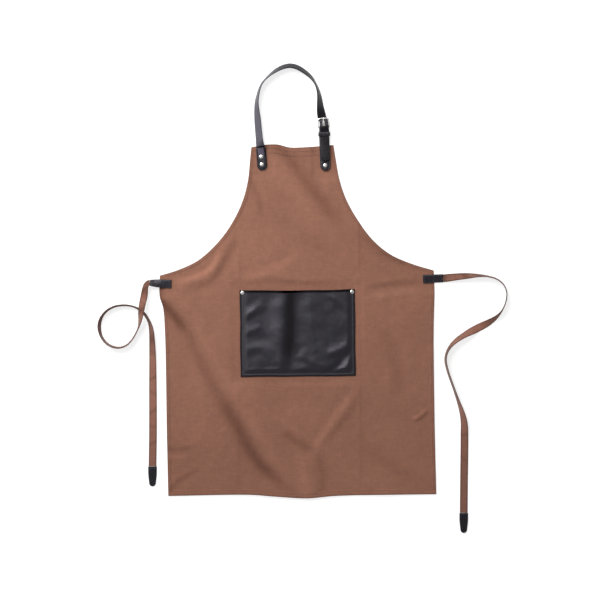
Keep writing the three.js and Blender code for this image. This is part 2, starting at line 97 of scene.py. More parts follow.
# Name, place, diameter and power.
LIGHTS = [("key", Vector((-1.2, 1.78, 2.0)), 2.1, 124), ("side", Vector((-3.0, 0.2, 1.05)), 2.0, 21)]
FLOOR_HALF = 6.0
FLOOR_DROP = 0.4 * MM
PAPER = (0.38, 0.38, 0.38)
PAPER_GLOW = 0.76


def camera_and_light():
    """A camera straight above, a lamp at the upper left, a weaker one at the left, and a white floor."""
    scene = bpy.context.scene
    camera = bpy.data.cameras.new("camera")
    camera.lens = LENS
    camera.sensor_width = SENSOR
    camera.clip_end = 50
    holder = bpy.data.objects.new("camera", camera)
    holder.location = (*VIEW_CENTRE, VIEW_WIDTH * LENS / SENSOR)
    scene.collection.objects.link(holder)
    scene.camera = holder

    scene.world = studio_world(WORLD_OVERHEAD, WORLD_AT_HORIZON)
    scene.view_settings.view_transform = "Standard"
    for light in LIGHTS:
        area_light(*light)

    floor = bpy.data.meshes.new("floor")
    corners = [(-1, -1), (1, -1), (1, 1), (-1, 1)]
    floor.from_pydata([(x * FLOOR_HALF, y * FLOOR_HALF, 0) for x, y in corners], [], [(0, 1, 2, 3)])
    sheet = bpy.data.objects.new("floor", floor)
    sheet.location.z = -FLOOR_DROP
    scene.collection.objects.link(sheet)
    paper = plain_material("paper", PAPER, 0.95)
    glow = paper.node_tree.nodes["Principled BSDF"].inputs
    glow["Emission Color"].default_value = (1, 1, 1, 1)
    glow["Emission Strength"].default_value = PAPER_GLOW
    floor.materials.append(paper)


def studio_world(overhead, at_horizon):
    """White, brightest at the horizon and dim overhead, so that dark leather keeps its depth."""
    world = bpy.data.worlds.new("studio")
    world.use_nodes = True
    tree = world.node_tree
    direction = tree.nodes.new("ShaderNodeTexCoord")
    split = tree.nodes.new("ShaderNodeSeparateXYZ")
    strength = tree.nodes.new("ShaderNodeMapRange")
    strength.inputs["To Min"].default_value = at_horizon
    strength.inputs["To Max"].default_value = overhead
    tree.links.new(direction.outputs["Generated"], split.inputs["Vector"])
    tree.links.new(split.outputs["Z"], strength.inputs["Value"])
    tree.links.new(strength.outputs["Result"], tree.nodes["Background"].inputs["Strength"])
    tree.nodes["Background"].inputs["Color"].default_value = (1, 1, 1, 1)
    return world


def area_light(name, place, size, power):
    """A disk lamp that points at the origin."""
    light = bpy.data.lights.new(name, "AREA")
    light.shape = "DISK"
    light.size = size
    light.energy = power
    holder = bpy.data.objects.new(name, light)
    holder.location = place
    holder.rotation_euler = (-place).to_track_quat("-Z", "Y").to_euler()
    bpy.context.scene.collection.objects.link(holder)


# ---- Materials ----
WHITE = (1, 1, 1)
CANVAS_BROWN = (0.222, 0.098, 0.0635)
TAPE_BROWN = (0.192, 0.086, 0.0595)
STRAP_LOOK = {"base": (0.0066, 0.0055, 0.0082), "roughness": 0.4, "grain": 1500, "depth": 0.00006}
POCKET_LOOK = {"base": (0.0068, 0.0058, 0.0088), "roughness": 0.5, "grain": 900, "depth": 0.0001}
NICKEL = (0.93, 0.91, 0.86)
BROWN_THREAD = (0.15, 0.075, 0.055)
BLACK_THREAD = (0.055, 0.054, 0.068)
YARNS = 12  # waves for each 10 mm, of warp and of weft
LEATHER_GLOSS = 0.5


class Nodes:
    """A material with a Principled shader and short ways to add nodes to it."""

    def __init__(self, name, roughness, metallic=0.0, **sockets):
        self.material = bpy.data.materials.new(name)
        self.material.use_nodes = True
        self.tree = self.material.node_tree
        self.shader = self.tree.nodes["Principled BSDF"]
        self.shader.inputs["Roughness"].default_value = roughness
        self.shader.inputs["Metallic"].default_value = metallic
        for socket, value in sockets.items():
            self.shader.inputs[socket.replace("_", " ")].default_value = value

    def add(self, kind, **values):
        node = self.tree.nodes.new(kind)
        for key, value in values.items():
            if key in node.inputs:
                node.inputs[key].default_value = value
            else:
                setattr(node, key, value)
        return node

    def link(self, source, target):
        self.tree.links.new(source, target)

    def mapped(self, source, scale):
        mapping = self.add("ShaderNodeMapping", Scale=scale)
        self.link(source, mapping.inputs["Vector"])
        return mapping.outputs["Vector"]

    def place(self, scale=(1, 1, 1)):
        return self.mapped(self.add("ShaderNodeTexCoord").outputs["Object"], scale)

    def woven_place(self, scale=(1, 1, 1)):
        """The place in a ribbon's own plan, across it and along it, as stored on the mesh."""
        weave = self.add("ShaderNodeAttribute", attribute_name="weave")
        return self.mapped(weave.outputs["Vector"], scale)

    def tone(self):
        """The tone stored on the mesh: how light the material is there, mostly painted light and shade."""
        return self.add("ShaderNodeAttribute", attribute_name="tone").outputs["Color"]

    def noise(self, vector, scale, detail=3.0, rough=0.55):
        node = self.add("ShaderNodeTexNoise", Scale=scale, Detail=detail, Roughness=rough)
        self.link(vector, node.inputs["Vector"])
        return node.outputs["Fac"]

    def wave(self, vector, scale, direction, distortion):
        node = self.add(
            "ShaderNodeTexWave", bands_direction=direction, wave_profile="SIN", Scale=scale,
            Distortion=distortion, Detail=0.0,
        )
        self.link(vector, node.inputs["Vector"])
        return node.outputs["Fac"]

    def math(self, operation, first, second):
        node = self.add("ShaderNodeMath", operation=operation)
        for value, socket in ((first, node.inputs[0]), (second, node.inputs[1])):
            if isinstance(value, (int, float)):
                socket.default_value = value
            else:
                self.link(value, socket)
        return node.outputs[0]

    def ramp(self, factor, stops):
        node = self.add("ShaderNodeValToRGB")
        elements = node.color_ramp.elements
        while len(elements) < len(stops):
            elements.new(0.5)
        for element, (position, colour) in zip(elements, stops):
            element.position = position
            element.color = (*colour, 1)
        self.link(factor, node.inputs["Fac"])
        return node.outputs["Color"]

    def multiply(self, first, second):
        node = self.add("ShaderNodeMix", data_type="RGBA", blend_type="MULTIPLY")
        node.inputs["Factor"].default_value = 1.0
        self.link(first, node.inputs["A"])
        self.link(second, node.inputs["B"])
        return node.outputs["Result"]

    def bump(self, height, distance, strength=1.0, below=None):
        node = self.add("ShaderNodeBump", Distance=distance, Strength=strength)
        self.link(height, node.inputs["Height"])
        if below is not None:
            self.link(below, node.inputs["Normal"])
        return node.outputs["Normal"]

    def finish(self, colour=None, normal=None, roughness=None):
        for source, socket in ((colour, "Base Color"), (normal, "Normal"), (roughness, "Roughness")):
            if source is not None:
                self.link(source, self.shader.inputs[socket])
        return self.material


def plain_material(name, colour, roughness):
    nodes = Nodes(name, roughness)
    nodes.shader.inputs["Base Color"].default_value = (*colour, 1)
    return nodes.material


def shades(colour, low, high):
    """Ramp stops from low times a colour to high times it."""
    return [(0.3, tuple(c * low for c in colour)), (0.7, tuple(c * high for c in colour))]


def canvas_material():
    nodes = Nodes("canvas", 0.88, Specular_IOR_Level=0.25, Sheen_Weight=0.25, Sheen_Roughness=0.5)
    nodes.shader.inputs["Sheen Tint"].default_value = (1.0, 0.86, 0.78, 1)
    place = nodes.place()
    cloudy = nodes.ramp(nodes.noise(place, 5.5, 4), shades(CANVAS_BROWN, 0.93, 1.07))
    slubs = nodes.ramp(nodes.noise(nodes.place(scale=(60, 620, 140)), 1.0, 4), shades(WHITE, 0.92, 1.06))
    ends = nodes.ramp(nodes.noise(nodes.place(scale=(620, 55, 120)), 1.0, 4), shades(WHITE, 0.94, 1.045))
    worn = nodes.ramp(nodes.noise(place, 85, 5, 0.7), shades(WHITE, 0.93, 1.06))
    colour = cloudy
    # The tone on the mesh is painted light and shade.
    for layer in (slubs, ends, worn, nodes.tone()):
        colour = nodes.multiply(colour, layer)
    warp = nodes.wave(place, YARNS * 32, "X", 0.25)
    weft = nodes.wave(place, YARNS * 32, "Y", 0.25)
    woven = nodes.math("MULTIPLY", warp, weft)
    fuzz = nodes.noise(place, 1500, 2)
    height = nodes.math("ADD", woven, nodes.math("MULTIPLY", fuzz, 0.6))
    soft = nodes.bump(nodes.noise(place, 55, 4), 0.0012, 0.35)
    return nodes.finish(colour, nodes.bump(height, 0.00012, 0.75, soft))


def tape_material():
    nodes = Nodes("tape", 0.86, Specular_IOR_Level=0.25, Sheen_Weight=0.12, Sheen_Roughness=0.5)
    place = nodes.woven_place()
    cloudy = nodes.ramp(nodes.noise(place, 30, 4), shades(TAPE_BROWN, 0.93, 1.07))
    twill = nodes.wave(nodes.woven_place((0.7, 1, 1)), 320, "DIAGONAL", 0.2)
    ribs = nodes.wave(place, 190, "X", 0.3)
    lines = nodes.ramp(twill, shades(WHITE, 0.9, 1.05))
    height = nodes.math("ADD", twill, nodes.math("MULTIPLY", ribs, 0.6))
    colour = nodes.multiply(nodes.multiply(cloudy, lines), nodes.tone())
    return nodes.finish(colour, nodes.bump(height, 0.0002, 0.8))


def leather_material(name, base, roughness, grain, depth, with_painted_light=False):
    """Leather with cells of grain. With painted light, the tone on the mesh, painted light and shade, sets
    its colour and its gloss as well, as a painted sheen.
    """
    nodes = Nodes(name, roughness, Specular_IOR_Level=LEATHER_GLOSS)
    nodes.shader.inputs["Specular Tint"].default_value = (0.93, 0.91, 1.0, 1)
    place = nodes.place()
    cloudy = nodes.ramp(nodes.noise(place, 25, 4), shades(base, 0.8, 1.25))
    if with_painted_light:
        tone = nodes.tone()
        cloudy = nodes.multiply(cloudy, tone)
        gloss = nodes.math("MULTIPLY", nodes.math("MINIMUM", tone, 1.3), LEATHER_GLOSS)
        nodes.link(gloss, nodes.shader.inputs["Specular IOR Level"])
    pores = nodes.add("ShaderNodeTexVoronoi", feature="DISTANCE_TO_EDGE", Scale=grain)
    warped = nodes.add("ShaderNodeVectorMath", operation="ADD")
    nudge = nodes.add("ShaderNodeTexNoise", Scale=grain * 0.45)
    shrink = nodes.add("ShaderNodeVectorMath", operation="SCALE", Scale=0.9 / grain)
    nodes.link(place, nudge.inputs["Vector"])
    nodes.link(nudge.outputs["Color"], shrink.inputs[0])
    nodes.link(place, warped.inputs[0])
    nodes.link(shrink.outputs["Vector"], warped.inputs[1])
    nodes.link(warped.outputs["Vector"], pores.inputs["Vector"])
    cells = nodes.math("MINIMUM", nodes.math("MULTIPLY", pores.outputs["Distance"], 6.0), 1.0)
    shine = nodes.math("ADD", nodes.math("MULTIPLY", nodes.noise(place, 45, 4), 0.22), roughness - 0.11)
    waves = nodes.bump(nodes.noise(place, 90, 3), 0.0011, 0.3)
    return nodes.finish(cloudy, nodes.bump(cells, depth, 0.7, waves), shine)


def nickel_material():
    nodes = Nodes("nickel", 0.38, 1.0)
    place = nodes.place()
    colour = nodes.ramp(nodes.noise(place, 160, 4), shades(NICKEL, 0.96, 1.03))
    shine = nodes.math("ADD", nodes.math("MULTIPLY", nodes.noise(place, 420, 5), 0.1), 0.33)
    return nodes.finish(colour, nodes.bump(nodes.noise(place, 500, 3), 0.00008, 0.4), shine)


def thread_material(name, base):
    nodes = Nodes(name, 0.75, Sheen_Weight=0.15)
    place = nodes.place()
    ply = nodes.wave(place, 520, "DIAGONAL", 0.4)
    colour = nodes.ramp(ply, shades(base, 0.82, 1.12))
    return nodes.finish(colour, nodes.bump(ply, 0.00012, 0.6))


# ---- Mesh helpers ----
def make_piece(name, vertices, faces, material, body=ROOT, replaces=(), sharp=SHARP_ANGLE):
    mesh = bpy.data.meshes.new(name)
    mesh.from_pydata([tuple(map(float, v)) for v in vertices], [], [tuple(map(int, f)) for f in faces])
    shell = bmesh.new()
    shell.from_mesh(mesh)
    bmesh.ops.recalc_face_normals(shell, faces=shell.faces)
    shell.to_mesh(mesh)
    shell.free()
    mesh.polygons.foreach_set("use_smooth", [True] * len(mesh.polygons))
    mesh.set_sharp_from_angle(angle=math.radians(sharp))
    mesh.materials.append(material)
    piece = bpy.data.objects.new(name, mesh)
    bpy.context.scene.collection.objects.link(piece)
    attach(piece, body)
    if replaces:
        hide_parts(*replaces)
    return piece


def grid_faces(rows, columns, wrap_rows=False, wrap_columns=False, offset=0):
    """Quads of a grid whose vertices are numbered row by row."""
    r = np.arange(rows if wrap_rows else rows - 1)
    c = np.arange(columns if wrap_columns else columns - 1)
    a, b = np.meshgrid(r, c, indexing="ij")
    a2 = (a + 1) % rows
    b2 = (b + 1) % columns
    quads = np.stack([a * columns + b, a * columns + b2, a2 * columns + b2, a2 * columns + b], -1)
    return [tuple(quad) for quad in quads.reshape(-1, 4) + offset]


def slab_faces(rows, columns):
    """Faces of a sheet with two sides: the vertices of its upper grid, and then those of its lower one."""
    lower = rows * columns
    faces = grid_faces(rows, columns)
    faces += [face[::-1] for face in grid_faces(rows, columns, offset=lower)]
    rim = np.concatenate([
        np.arange(columns),
        columns - 1 + columns * np.arange(1, rows),
        (rows - 1) * columns + np.arange(columns - 2, -1, -1),
        columns * np.arange(rows - 2, 0, -1),
    ])
    faces += [(b, a, a + lower, b + lower) for a, b in zip(rim, np.roll(rim, -1))]
    return faces


def cut_piece(piece, cutters):
    """Cuts real holes, and then drops the cutters."""
    for cutter in cutters:
        step = piece.modifiers.new("hole", "BOOLEAN")
        step.operation = "DIFFERENCE"
        step.solver = "EXACT"
        step.object = cutter
    graph = bpy.context.evaluated_depsgraph_get()
    mesh = bpy.data.meshes.new_from_object(piece.evaluated_get(graph))
    piece.modifiers.clear()
    old = piece.data
    piece.data = mesh
    mesh.name = old.name
    mesh.set_sharp_from_angle(angle=math.radians(SHARP_ANGLE))
    for cutter in cutters:
        bpy.data.objects.remove(cutter)


def peg(radius, low, high, x, y, stretch=0.0, turn=0.0, segments=28):
    """A cutter: an upright round peg, or an oblong one if stretch is given."""
    angles = np.linspace(0, 2 * math.pi, segments, endpoint=False)
    across = radius * np.cos(angles)
    along = radius * np.sin(angles) + np.where(np.sin(angles) >= 0, stretch / 2, -stretch / 2)
    px = x + across * math.cos(turn) - along * math.sin(turn)
    py = y + across * math.sin(turn) + along * math.cos(turn)
    vertices = [(a, b, z) for z in (low, high) for a, b in zip(px, py)]
    faces = [(i, (i + 1) % segments, segments + (i + 1) % segments, segments + i) for i in range(segments)]
    faces += [tuple(reversed(range(segments))), tuple(range(segments, 2 * segments))]
    mesh = bpy.data.meshes.new("peg")
    mesh.from_pydata(vertices, [], faces)
    cutter = bpy.data.objects.new("peg", mesh)
    bpy.context.scene.collection.objects.link(cutter)
    return cutter


def smoothstep(x, low, high):
    t = np.clip((x - low) / (high - low), 0, 1)
    return t * t * (3 - 2 * t)


def unit(vectors):
    return vectors / np.linalg.norm(vectors, axis=-1, keepdims=True)


def upward(points):
    return np.tile([0, 0, 1.0], (len(points), 1))


def travel(points):
    """How far along a line each of its points is."""
    return np.concatenate([[0], np.cumsum(np.linalg.norm(np.diff(points, axis=0), axis=1))])


# ---- Routes and ribbons ----
def catmull(points, samples):
    """A centripetal Catmull-Rom curve through the points, and each sample's place in the list."""
    p = np.asarray(points, float)
    p = np.vstack([2 * p[0] - p[1], p, 2 * p[-1] - p[-2]])
    spans = len(p) - 3
    places = np.linspace(0, spans, samples)
    index = np.minimum(places.astype(int), spans - 1)
    t = (places - index)[:, None]
    p0, p1, p2, p3 = (p[index + k] for k in range(4))
    pairs = ((p0, p1), (p1, p2), (p2, p3))
    d0, d1, d2 = (np.linalg.norm(b - a, axis=1, keepdims=True) ** 0.5 for a, b in pairs)
    m1 = ((p1 - p0) / d0 - (p2 - p0) / (d0 + d1) + (p2 - p1) / d1) * d1
    m2 = ((p2 - p1) / d1 - (p3 - p1) / (d1 + d2) + (p3 - p2) / d2) * d1
    curve = p1 + m1 * t + (3 * (p2 - p1) - 2 * m1 - m2) * t**2 + (2 * (p1 - p2) + m1 + m2) * t**3
    return curve, places


def soften(values, spread):
    """Gaussian smoothing of evenly spaced values, that keeps their ends."""
    reach = int(3 * spread) + 1
    weights = np.exp(-0.5 * (np.arange(-reach, reach + 1) / spread) ** 2)
    padded = np.concatenate([
        2 * values[0] - values[reach:0:-1],
        values,
        2 * values[-1] - values[-2:-reach - 2:-1],
    ])
    return np.convolve(padded, weights / weights.sum(), "valid")


def strap_line(route, width, thickness, spacing, steepest, smoothing=6.0 * MM):
    """Places, points, across and normal of a ribbon laid along rows of (x, y, roll in degrees, lift)."""
    rows = np.asarray(route, float)
    plan, places = catmull(rows[:, :2], 6000)
    travelled = travel(plan)
    count = int(travelled[-1] / spacing) + 1
    s = np.linspace(0, travelled[-1], count)
    place = np.interp(s, travelled, places)
    x, y = (np.interp(s, travelled, plan[:, k]) for k in (0, 1))
    knots = np.arange(len(rows))
    spread = smoothing / (s[1] - s[0])
    degrees = np.clip(np.interp(place, knots, rows[:, 2]), -steepest, steepest)
    roll = soften(np.radians(degrees), spread)
    lift = soften(np.interp(place, knots, rows[:, 3]), spread * 0.5)
    z = lift + width / 2 * np.abs(np.sin(roll)) + thickness / 2 * np.cos(roll)
    centre = np.stack([x, y, z], 1)
    return (s, centre, *ribbon_frames(centre, roll))


def ribbon_frames(centre, roll):
    """Across and normal of a ribbon at each of its stations."""
    along = unit(np.gradient(centre, axis=0))
    side = unit(np.cross(along, [0, 0, 1]))
    up = np.cross(side, along)
    cos, sin = np.cos(roll)[:, None], np.sin(roll)[:, None]
    return side * cos + up * sin, up * cos - side * sin


CREASE_AT = 2.2 * MM  # of the line pressed along each edge of a strap


def section_marks(half, thickness, crease, crown):
    """Half of a ribbon's section, from its edge to its middle: distances in, and heights as shares."""
    round_at = min(thickness / 2, half * 0.5)
    angles = np.linspace(0, math.pi / 2, 6)
    marks = [(round_at * (1 - math.cos(a)), math.sin(a)) for a in angles]
    if crease:
        for step, drop in ((-0.7, 0), (-0.25, 0.7), (0, 1), (0.25, 0.7), (0.7, 0)):
            marks.append((CREASE_AT + step * MM, 1 - drop * crease / (thickness / 2)))
    for share in (0.45, 0.62, 0.8, 1.0):
        marks.append((half * share, 1 + crown * share))
    return [m for i, m in enumerate(marks) if i == 0 or m[0] > marks[i - 1][0]]


def ribbon_mesh(s, centre, across, normal, width, thickness, crease=0.0, crown=0.0, waist=None, ends=(0, 0),
                ripple=None):
    """A closed ribbon. waist gives its width at each station, and ends the radii of its rounded ends."""
    half = width / 2
    marks = section_marks(half, thickness, crease, crown)
    top = [(d - half, h) for d, h in marks] + [(half - d, h) for d, h in reversed(marks[:-1])]
    low = [(x, -h) for x, h in top]
    ring = np.array(top[:-1] + low[:0:-1])
    x = ring[:, 0] / half
    z = ring[:, 1] * thickness / 2
    halves = np.full(len(s), half) if waist is None else np.asarray(waist) / 2
    flat = np.ones(len(s))
    edge = thickness / 2
    for radius, distance in ((ends[0], s), (ends[1], s[-1] - s)):
        if radius:
            share = np.sqrt(np.maximum(1 - (1 - distance / radius) ** 2, 0.0004))
            halves = np.where(distance < radius, halves * share, halves)
        thinner = np.sqrt(np.maximum(1 - (1 - distance / edge) ** 2, 0.12))
        flat = flat * np.where(distance < edge, thinner, 1)
    offsets = x[None, :] * halves[:, None]
    heights = z[None, :] * flat[:, None]
    if ripple is not None:
        heights = heights + ripple(s[:, None], offsets)
    vertices = centre[:, None] + offsets[..., None] * across[:, None] + heights[..., None] * normal[:, None]
    rows, columns = vertices.shape[:2]
    faces = grid_faces(rows, columns, wrap_columns=True)
    faces.append(tuple(reversed(range(columns))))
    faces.append(tuple(range((rows - 1) * columns, rows * columns)))
    weave = np.stack([offsets, np.repeat(s[:, None], columns, 1), heights * 0], -1)
    return vertices.reshape(-1, 3), faces, weave.reshape(-1, 3)


def ribbon_piece(name, line, width, thickness, material, record_slot, replaces, **shape):
    """A piece along a line of places, points, across and normal, with its plan stored for the weave."""
    vertices, faces, weave = ribbon_mesh(*line, width, thickness, **shape)
    piece = make_piece(name, vertices, faces, material, replaces=replaces)
    layer = piece.data.attributes.new("weave", "FLOAT_VECTOR", "POINT")
    layer.data.foreach_set("vector", np.asarray(weave, np.float32).ravel())
    return piece


def woven(piece):
    """The distance of each vertex from the middle of its ribbon, and its place along it."""
    weave = np.empty(len(piece.data.vertices) * 3, np.float32)
    piece.data.attributes["weave"].data.foreach_get("vector", weave)
    offset, place, _ = weave.reshape(-1, 3).T
    return offset, place


def add_tone(piece, tone):
    """Stores how light each vertex is, mostly painted light and shade. Dark tones lean to the red of the
    cloth.
    """
    layer = piece.data.attributes.new("tone", "FLOAT_COLOR", "POINT")
    tone = np.asarray(tone, np.float32).ravel()
    shade = np.clip(tone, 0.05, 1)
    colours = np.stack([tone, tone * shade ** 0.22, tone * shade ** 0.36, np.ones_like(tone)], 1)
    layer.data.foreach_set("color", colours.ravel())


def dense_ends(s, radius_start, radius_end):
    """Station places with more of them where an end is rounded."""
    extra = []
    for radius, from_end in ((radius_start, False), (radius_end, True)):
        if radius:
            near = radius * (1 - np.cos(np.linspace(0, math.pi / 2, 16)))
            extra.append(s[-1] - near if from_end else near)
    edge = np.array([0.0, 0.1, 0.25, 0.45, 0.7, 1.0]) * MM
    extra += [edge, s[-1] - edge]
    return np.unique(np.round(np.concatenate([s, *extra]), 7))


def resample(s, new, *fields):
    """Fields of 3-D values given at places s, at new places."""
    return [np.stack([np.interp(new, s, field[:, k]) for k in range(3)], 1) for field in fields]


def strap_piece(name, route, width, thickness, material, record_slot, replaces, *, ends=(0, 0),
                spacing=1.0 * MM, steepest=90, **shape):
    """A ribbon laid along the rows of a route: the piece, its places, points, across and normal."""
    s, *fields = strap_line(route, width, thickness, spacing, steepest)
    stations = dense_ends(s, *ends)
    line = (stations, *resample(s, stations, *fields))
    piece = ribbon_piece(name, line, width, thickness, material, record_slot, replaces, ends=ends, **shape)
    return piece, *line


# ---- Stitches ----
class Stitches:
    """Gathers short rounded stitches into one mesh."""

    SIDES = 6
    SINK = 0.25  # how far a stitch stands up, in radii
    # Along a stitch: share of its length, size, and height in radii.
    RINGS = ((0.0, 0.35, -0.7), (0.12, 0.85, -0.05), (0.5, 1.0, 0.25), (0.88, 0.85, -0.05), (1.0, 0.35, -0.7))

    def __init__(self):
        self.vertices = []
        self.faces = []

    def add(self, start, end, normal, radius):
        start, end, normal = (np.asarray(v, float) for v in (start, end, normal))
        along = end - start
        length = np.linalg.norm(along)
        along /= length
        side = np.cross(along, normal)
        side /= np.linalg.norm(side)
        up = np.cross(side, along)
        first = len(self.vertices)
        for share, size, height in self.RINGS:
            middle = start + along * length * share + up * radius * (height + self.SINK)
            for k in range(self.SIDES):
                angle = 2 * math.pi * k / self.SIDES
                spoke = side * math.cos(angle) + up * math.sin(angle)
                self.vertices.append(middle + radius * size * spoke)
        last = len(self.vertices) - self.SIDES
        self.faces += grid_faces(len(self.RINGS), self.SIDES, wrap_columns=True, offset=first)
        self.faces.append(tuple(first + k for k in reversed(range(self.SIDES))))
        self.faces.append(tuple(last + k for k in range(self.SIDES)))

    def run(self, points, normals, pitch, gap=STITCH_GAP, radius=STITCH_RADIUS):
        """Stitches along a line of points, one in each pitch, with a gap before the next."""
        points = np.asarray(points, float)
        normals = np.asarray(normals, float)
        travelled = travel(points)
        count = max(1, round(travelled[-1] / pitch))
        step = travelled[-1] / count

        def at(field, place):
            return np.array([np.interp(place, travelled, field[:, k]) for k in range(3)])

        for i in range(count):
            low, high = i * step + gap / 2, (i + 1) * step - gap / 2
            middle = (low + high) / 2
            jitter = RNG.normal(0, 0.03 * radius, 3)
            self.add(at(points, low) + jitter, at(points, high) + jitter, at(normals, middle), radius)

    def piece(self, name, material, record_slot):
        return make_piece(name, self.vertices, self.faces, material)


# ---- Canvas panel ----
BIB_TOP = [(-109, 319), (-72, 325.4), (-46, 325.4), (-18, 318.2), (12, 318.3), (88, 324.5)]
RIGHT_ARMHOLE = [(88, 324.5), (93, 293), (102.5, 240.5), (119, 192.5), (146, 144.5), (182, 96.5), (225, 61.5),
                 (278, 38.5), (328.5, 23.5)]
RIGHT_SIDE = [(328.5, 23.5), (330.5, -23.5), (328.3, -120), (330.5, -335), (334.8, -513.5)]
HEM = [(334.8, -513.5), (200, -515), (92, -517.4), (25, -523), (-52, -519), (-112, -514.8), (-308.2, -517.7)]
LEFT_SIDE = [(-308.2, -517.7), (-311.5, -371.5), (-316.3, -119.5), (-321, -65), (-329, -38), (-328.8, 10.8)]
LEFT_ARMHOLE = [(-328.8, 10.8), (-285, 24.5), (-235, 48.5), (-184, 96.5), (-151, 144.5), (-129, 192.5),
                (-117, 240.5), (-112, 290), (-109, 319)]
BIB_HEM = 22 * MM
BOTTOM_HEM = 12.5 * MM
SIDE_HEM = 8 * MM
HEM_RISE = 0.55 * MM

# Bands of light and shade across the canvas: a line of (x, y) in millimetres, half its width, and how steep
# the cloth is along it. A positive slope faces away from the key light and so is darker, with painted shade
# as well; a negative one gets painted light.
FOLDS = [
    ([(-372, 10), (-322, -52), (-280, -98), (-232, -192), (-184, -276), (-142, -348), (-100, -426),
      (-52, -474), (6, -520), (40, -548)], 17, 0.15),
    ([(-362, 0), (-324, -50), (-296, -84), (-264, -132)], 11, 0.22),
    ([(-190, -270), (-146, -346), (-112, -405), (-76, -452), (-40, -486)], 15, 0.16),
    ([(-290, -30), (-250, -96), (-204, -186), (-154, -268), (-108, -345), (-66, -420), (-14, -478),
      (20, -520)], 22, -0.085),
    ([(-78, 352), (-44, 318), (-22, 294), (2, 264), (32, 222), (62, 186), (92, 140), (104, 110)],
     17, 0.2),
    ([(-90, 330), (-56, 296), (-26, 256), (8, 210), (36, 170), (60, 130)], 20, -0.08),
    ([(-270, -26), (-230, -10), (-203, 2), (-176, 44), (-152, 90), (-140, 120)], 13, 0.10),
    ([(-312, -6), (-280, -2), (-250, 6), (-215, 22), (-196, 46), (-184, 80)], 11, -0.13),
    ([(140, 130), (168, 98), (200, 70), (248, 46), (280, 34)], 13, 0.11),
    ([(142, -256), (112, -300), (78, -345), (42, -400), (28, -430)], 12, -0.075),
    ([(158, -262), (130, -308), (96, -356), (62, -404)], 12, 0.055),
    ([(-134, -246), (-98, -284), (-58, -322), (-16, -352), (10, -372)], 12, -0.07),
    ([(-116, -264), (-76, -300), (-38, -340), (4, -378)], 10, 0.06),
    ([(-40, -362), (-10, -380), (16, -396), (44, -416)], 14, 0.12),
    ([(4, -404), (12, -440), (20, -480), (24, -530)], 18, -0.08),
    ([(54, -410), (60, -460), (58, -520)], 16, 0.07),
    ([(278, -342), (298, -330), (320, -312)], 5, 0.15),
    ([(274, -334), (294, -321), (314, -305)], 5, -0.10),
    ([(-322, -398), (-294, -406), (-266, -404), (-244, -398)], 6, 0.11),
    ([(-322, -414), (-290, -424), (-256, -420)], 6, -0.09),
    ([(-316, -512), (-284, -484), (-252, -462), (-228, -452)], 8, 0.09),
    ([(-130, 262), (-104, 222), (-90, 184), (-80, 150)], 11, 0.08),
    ([(84, 320), (70, 280), (68, 240), (74, 210)], 10, -0.06),
    ([(-70, 160), (-20, 138), (30, 100), (84, 52)], 22, 0.05),
    ([(196, -110), (222, -160), (240, -220), (248, -280)], 20, 0.06),
    ([(160, -390), (200, -426), (250, -460), (290, -480)], 18, 0.05),
    ([(10, 70), (-40, 36), (-90, 14), (-140, 6)], 14, -0.06),
    ([(-130, -12), (-90, 4), (-50, 2), (0, -8), (60, -10), (120, -8)], 9, 0.06),
    ([(160, -18), (200, -12), (250, -6), (306, -4)], 9, 0.09),
    ([(160, -42), (210, -34), (260, -26), (310, -22)], 10, -0.07),
    ([(-300, -100), (-262, -160), (-240, -230), (-226, -300)], 15, -0.05),
    ([(120, -232), (60, -240), (0, -238), (-60, -240), (-120, -236)], 7, 0.07),
]
FOLD_STRENGTH = 1.45
CREASE_PAINTED_SHADE = 1.2  # painted shade: how much darker the cloth is painted in a crease, for its slope
EDGE_PAINTED_SHADE = 0.34  # painted shade: how much darker it is painted at its edge
EDGE_PAINTED_SHADE_REACH = 2.2 * MM
# Painted shade in the stitch grooves of the hems.
SEAM_PAINTED_SHADE = 0.15
SEAM_DEPTH = 0.22 * MM
PUCKER = 0.1 * MM
# Painted light across the waist and painted shade at the lower left, for the fall of the light.
WAIST_PAINTED_LIGHT = 0.07
FOOT_PAINTED_SHADE = 0.06
PRESSED_HEIGHT = 0.75 * MM
# Painted shade beside each pressed line.
PRESSED_PAINTED_SHADE = 0.045
# Lines pressed by folding for the parcel: x at the top and at the foot, y at the top and at the foot.
PRESSED = [(-139, -143, 96, -505), (147, 151, 190, -505)]
# Where an edge stands off the floor: x, y, reach in x and in y, height.
LIFTS = [
    (20, -522, 95, 40, 3.6), (-5, 322, 34, 26, 2.4), (-150, -515, 60, 26, 1.2), (240, -514, 60, 24, 1.0),
    (-320, -200, 22, 90, 1.0), (333, -250, 20, 110, 0.9), (-100, 170, 26, 60, 0.8), (128, 160, 26, 50, 0.8),
]
# Boxes where something is fastened to the canvas, besides the pocket: low and high corner.
FASTENED = [
    ((-98, 258), (-70, 330)), ((53, 256), (84, 330)), ((-335, -26), (-296, 8)), ((298, -14), (335, 22)),
]
LIGHT_WAY = np.array([-0.56, 0.83])
WAVES = ((0.19, 1.2), (0.1, 0.9), (0.055, 0.5), (0.03, 0.3), (0.016, 0.11))  # wavelength, millimetres high
CANVAS_LIE = 2.2 * MM  # of the waves' middle over the floor
SEAM_INSET = 1.6 * MM  # of a hem's stitches from its inner edge
BIB_SEAMS = (BIB_HEM - 2 * MM, BIB_HEM - 12 * MM)
BOTTOM_SEAM = BOTTOM_HEM - SEAM_INSET
SIDE_SEAM = SIDE_HEM - SEAM_INSET
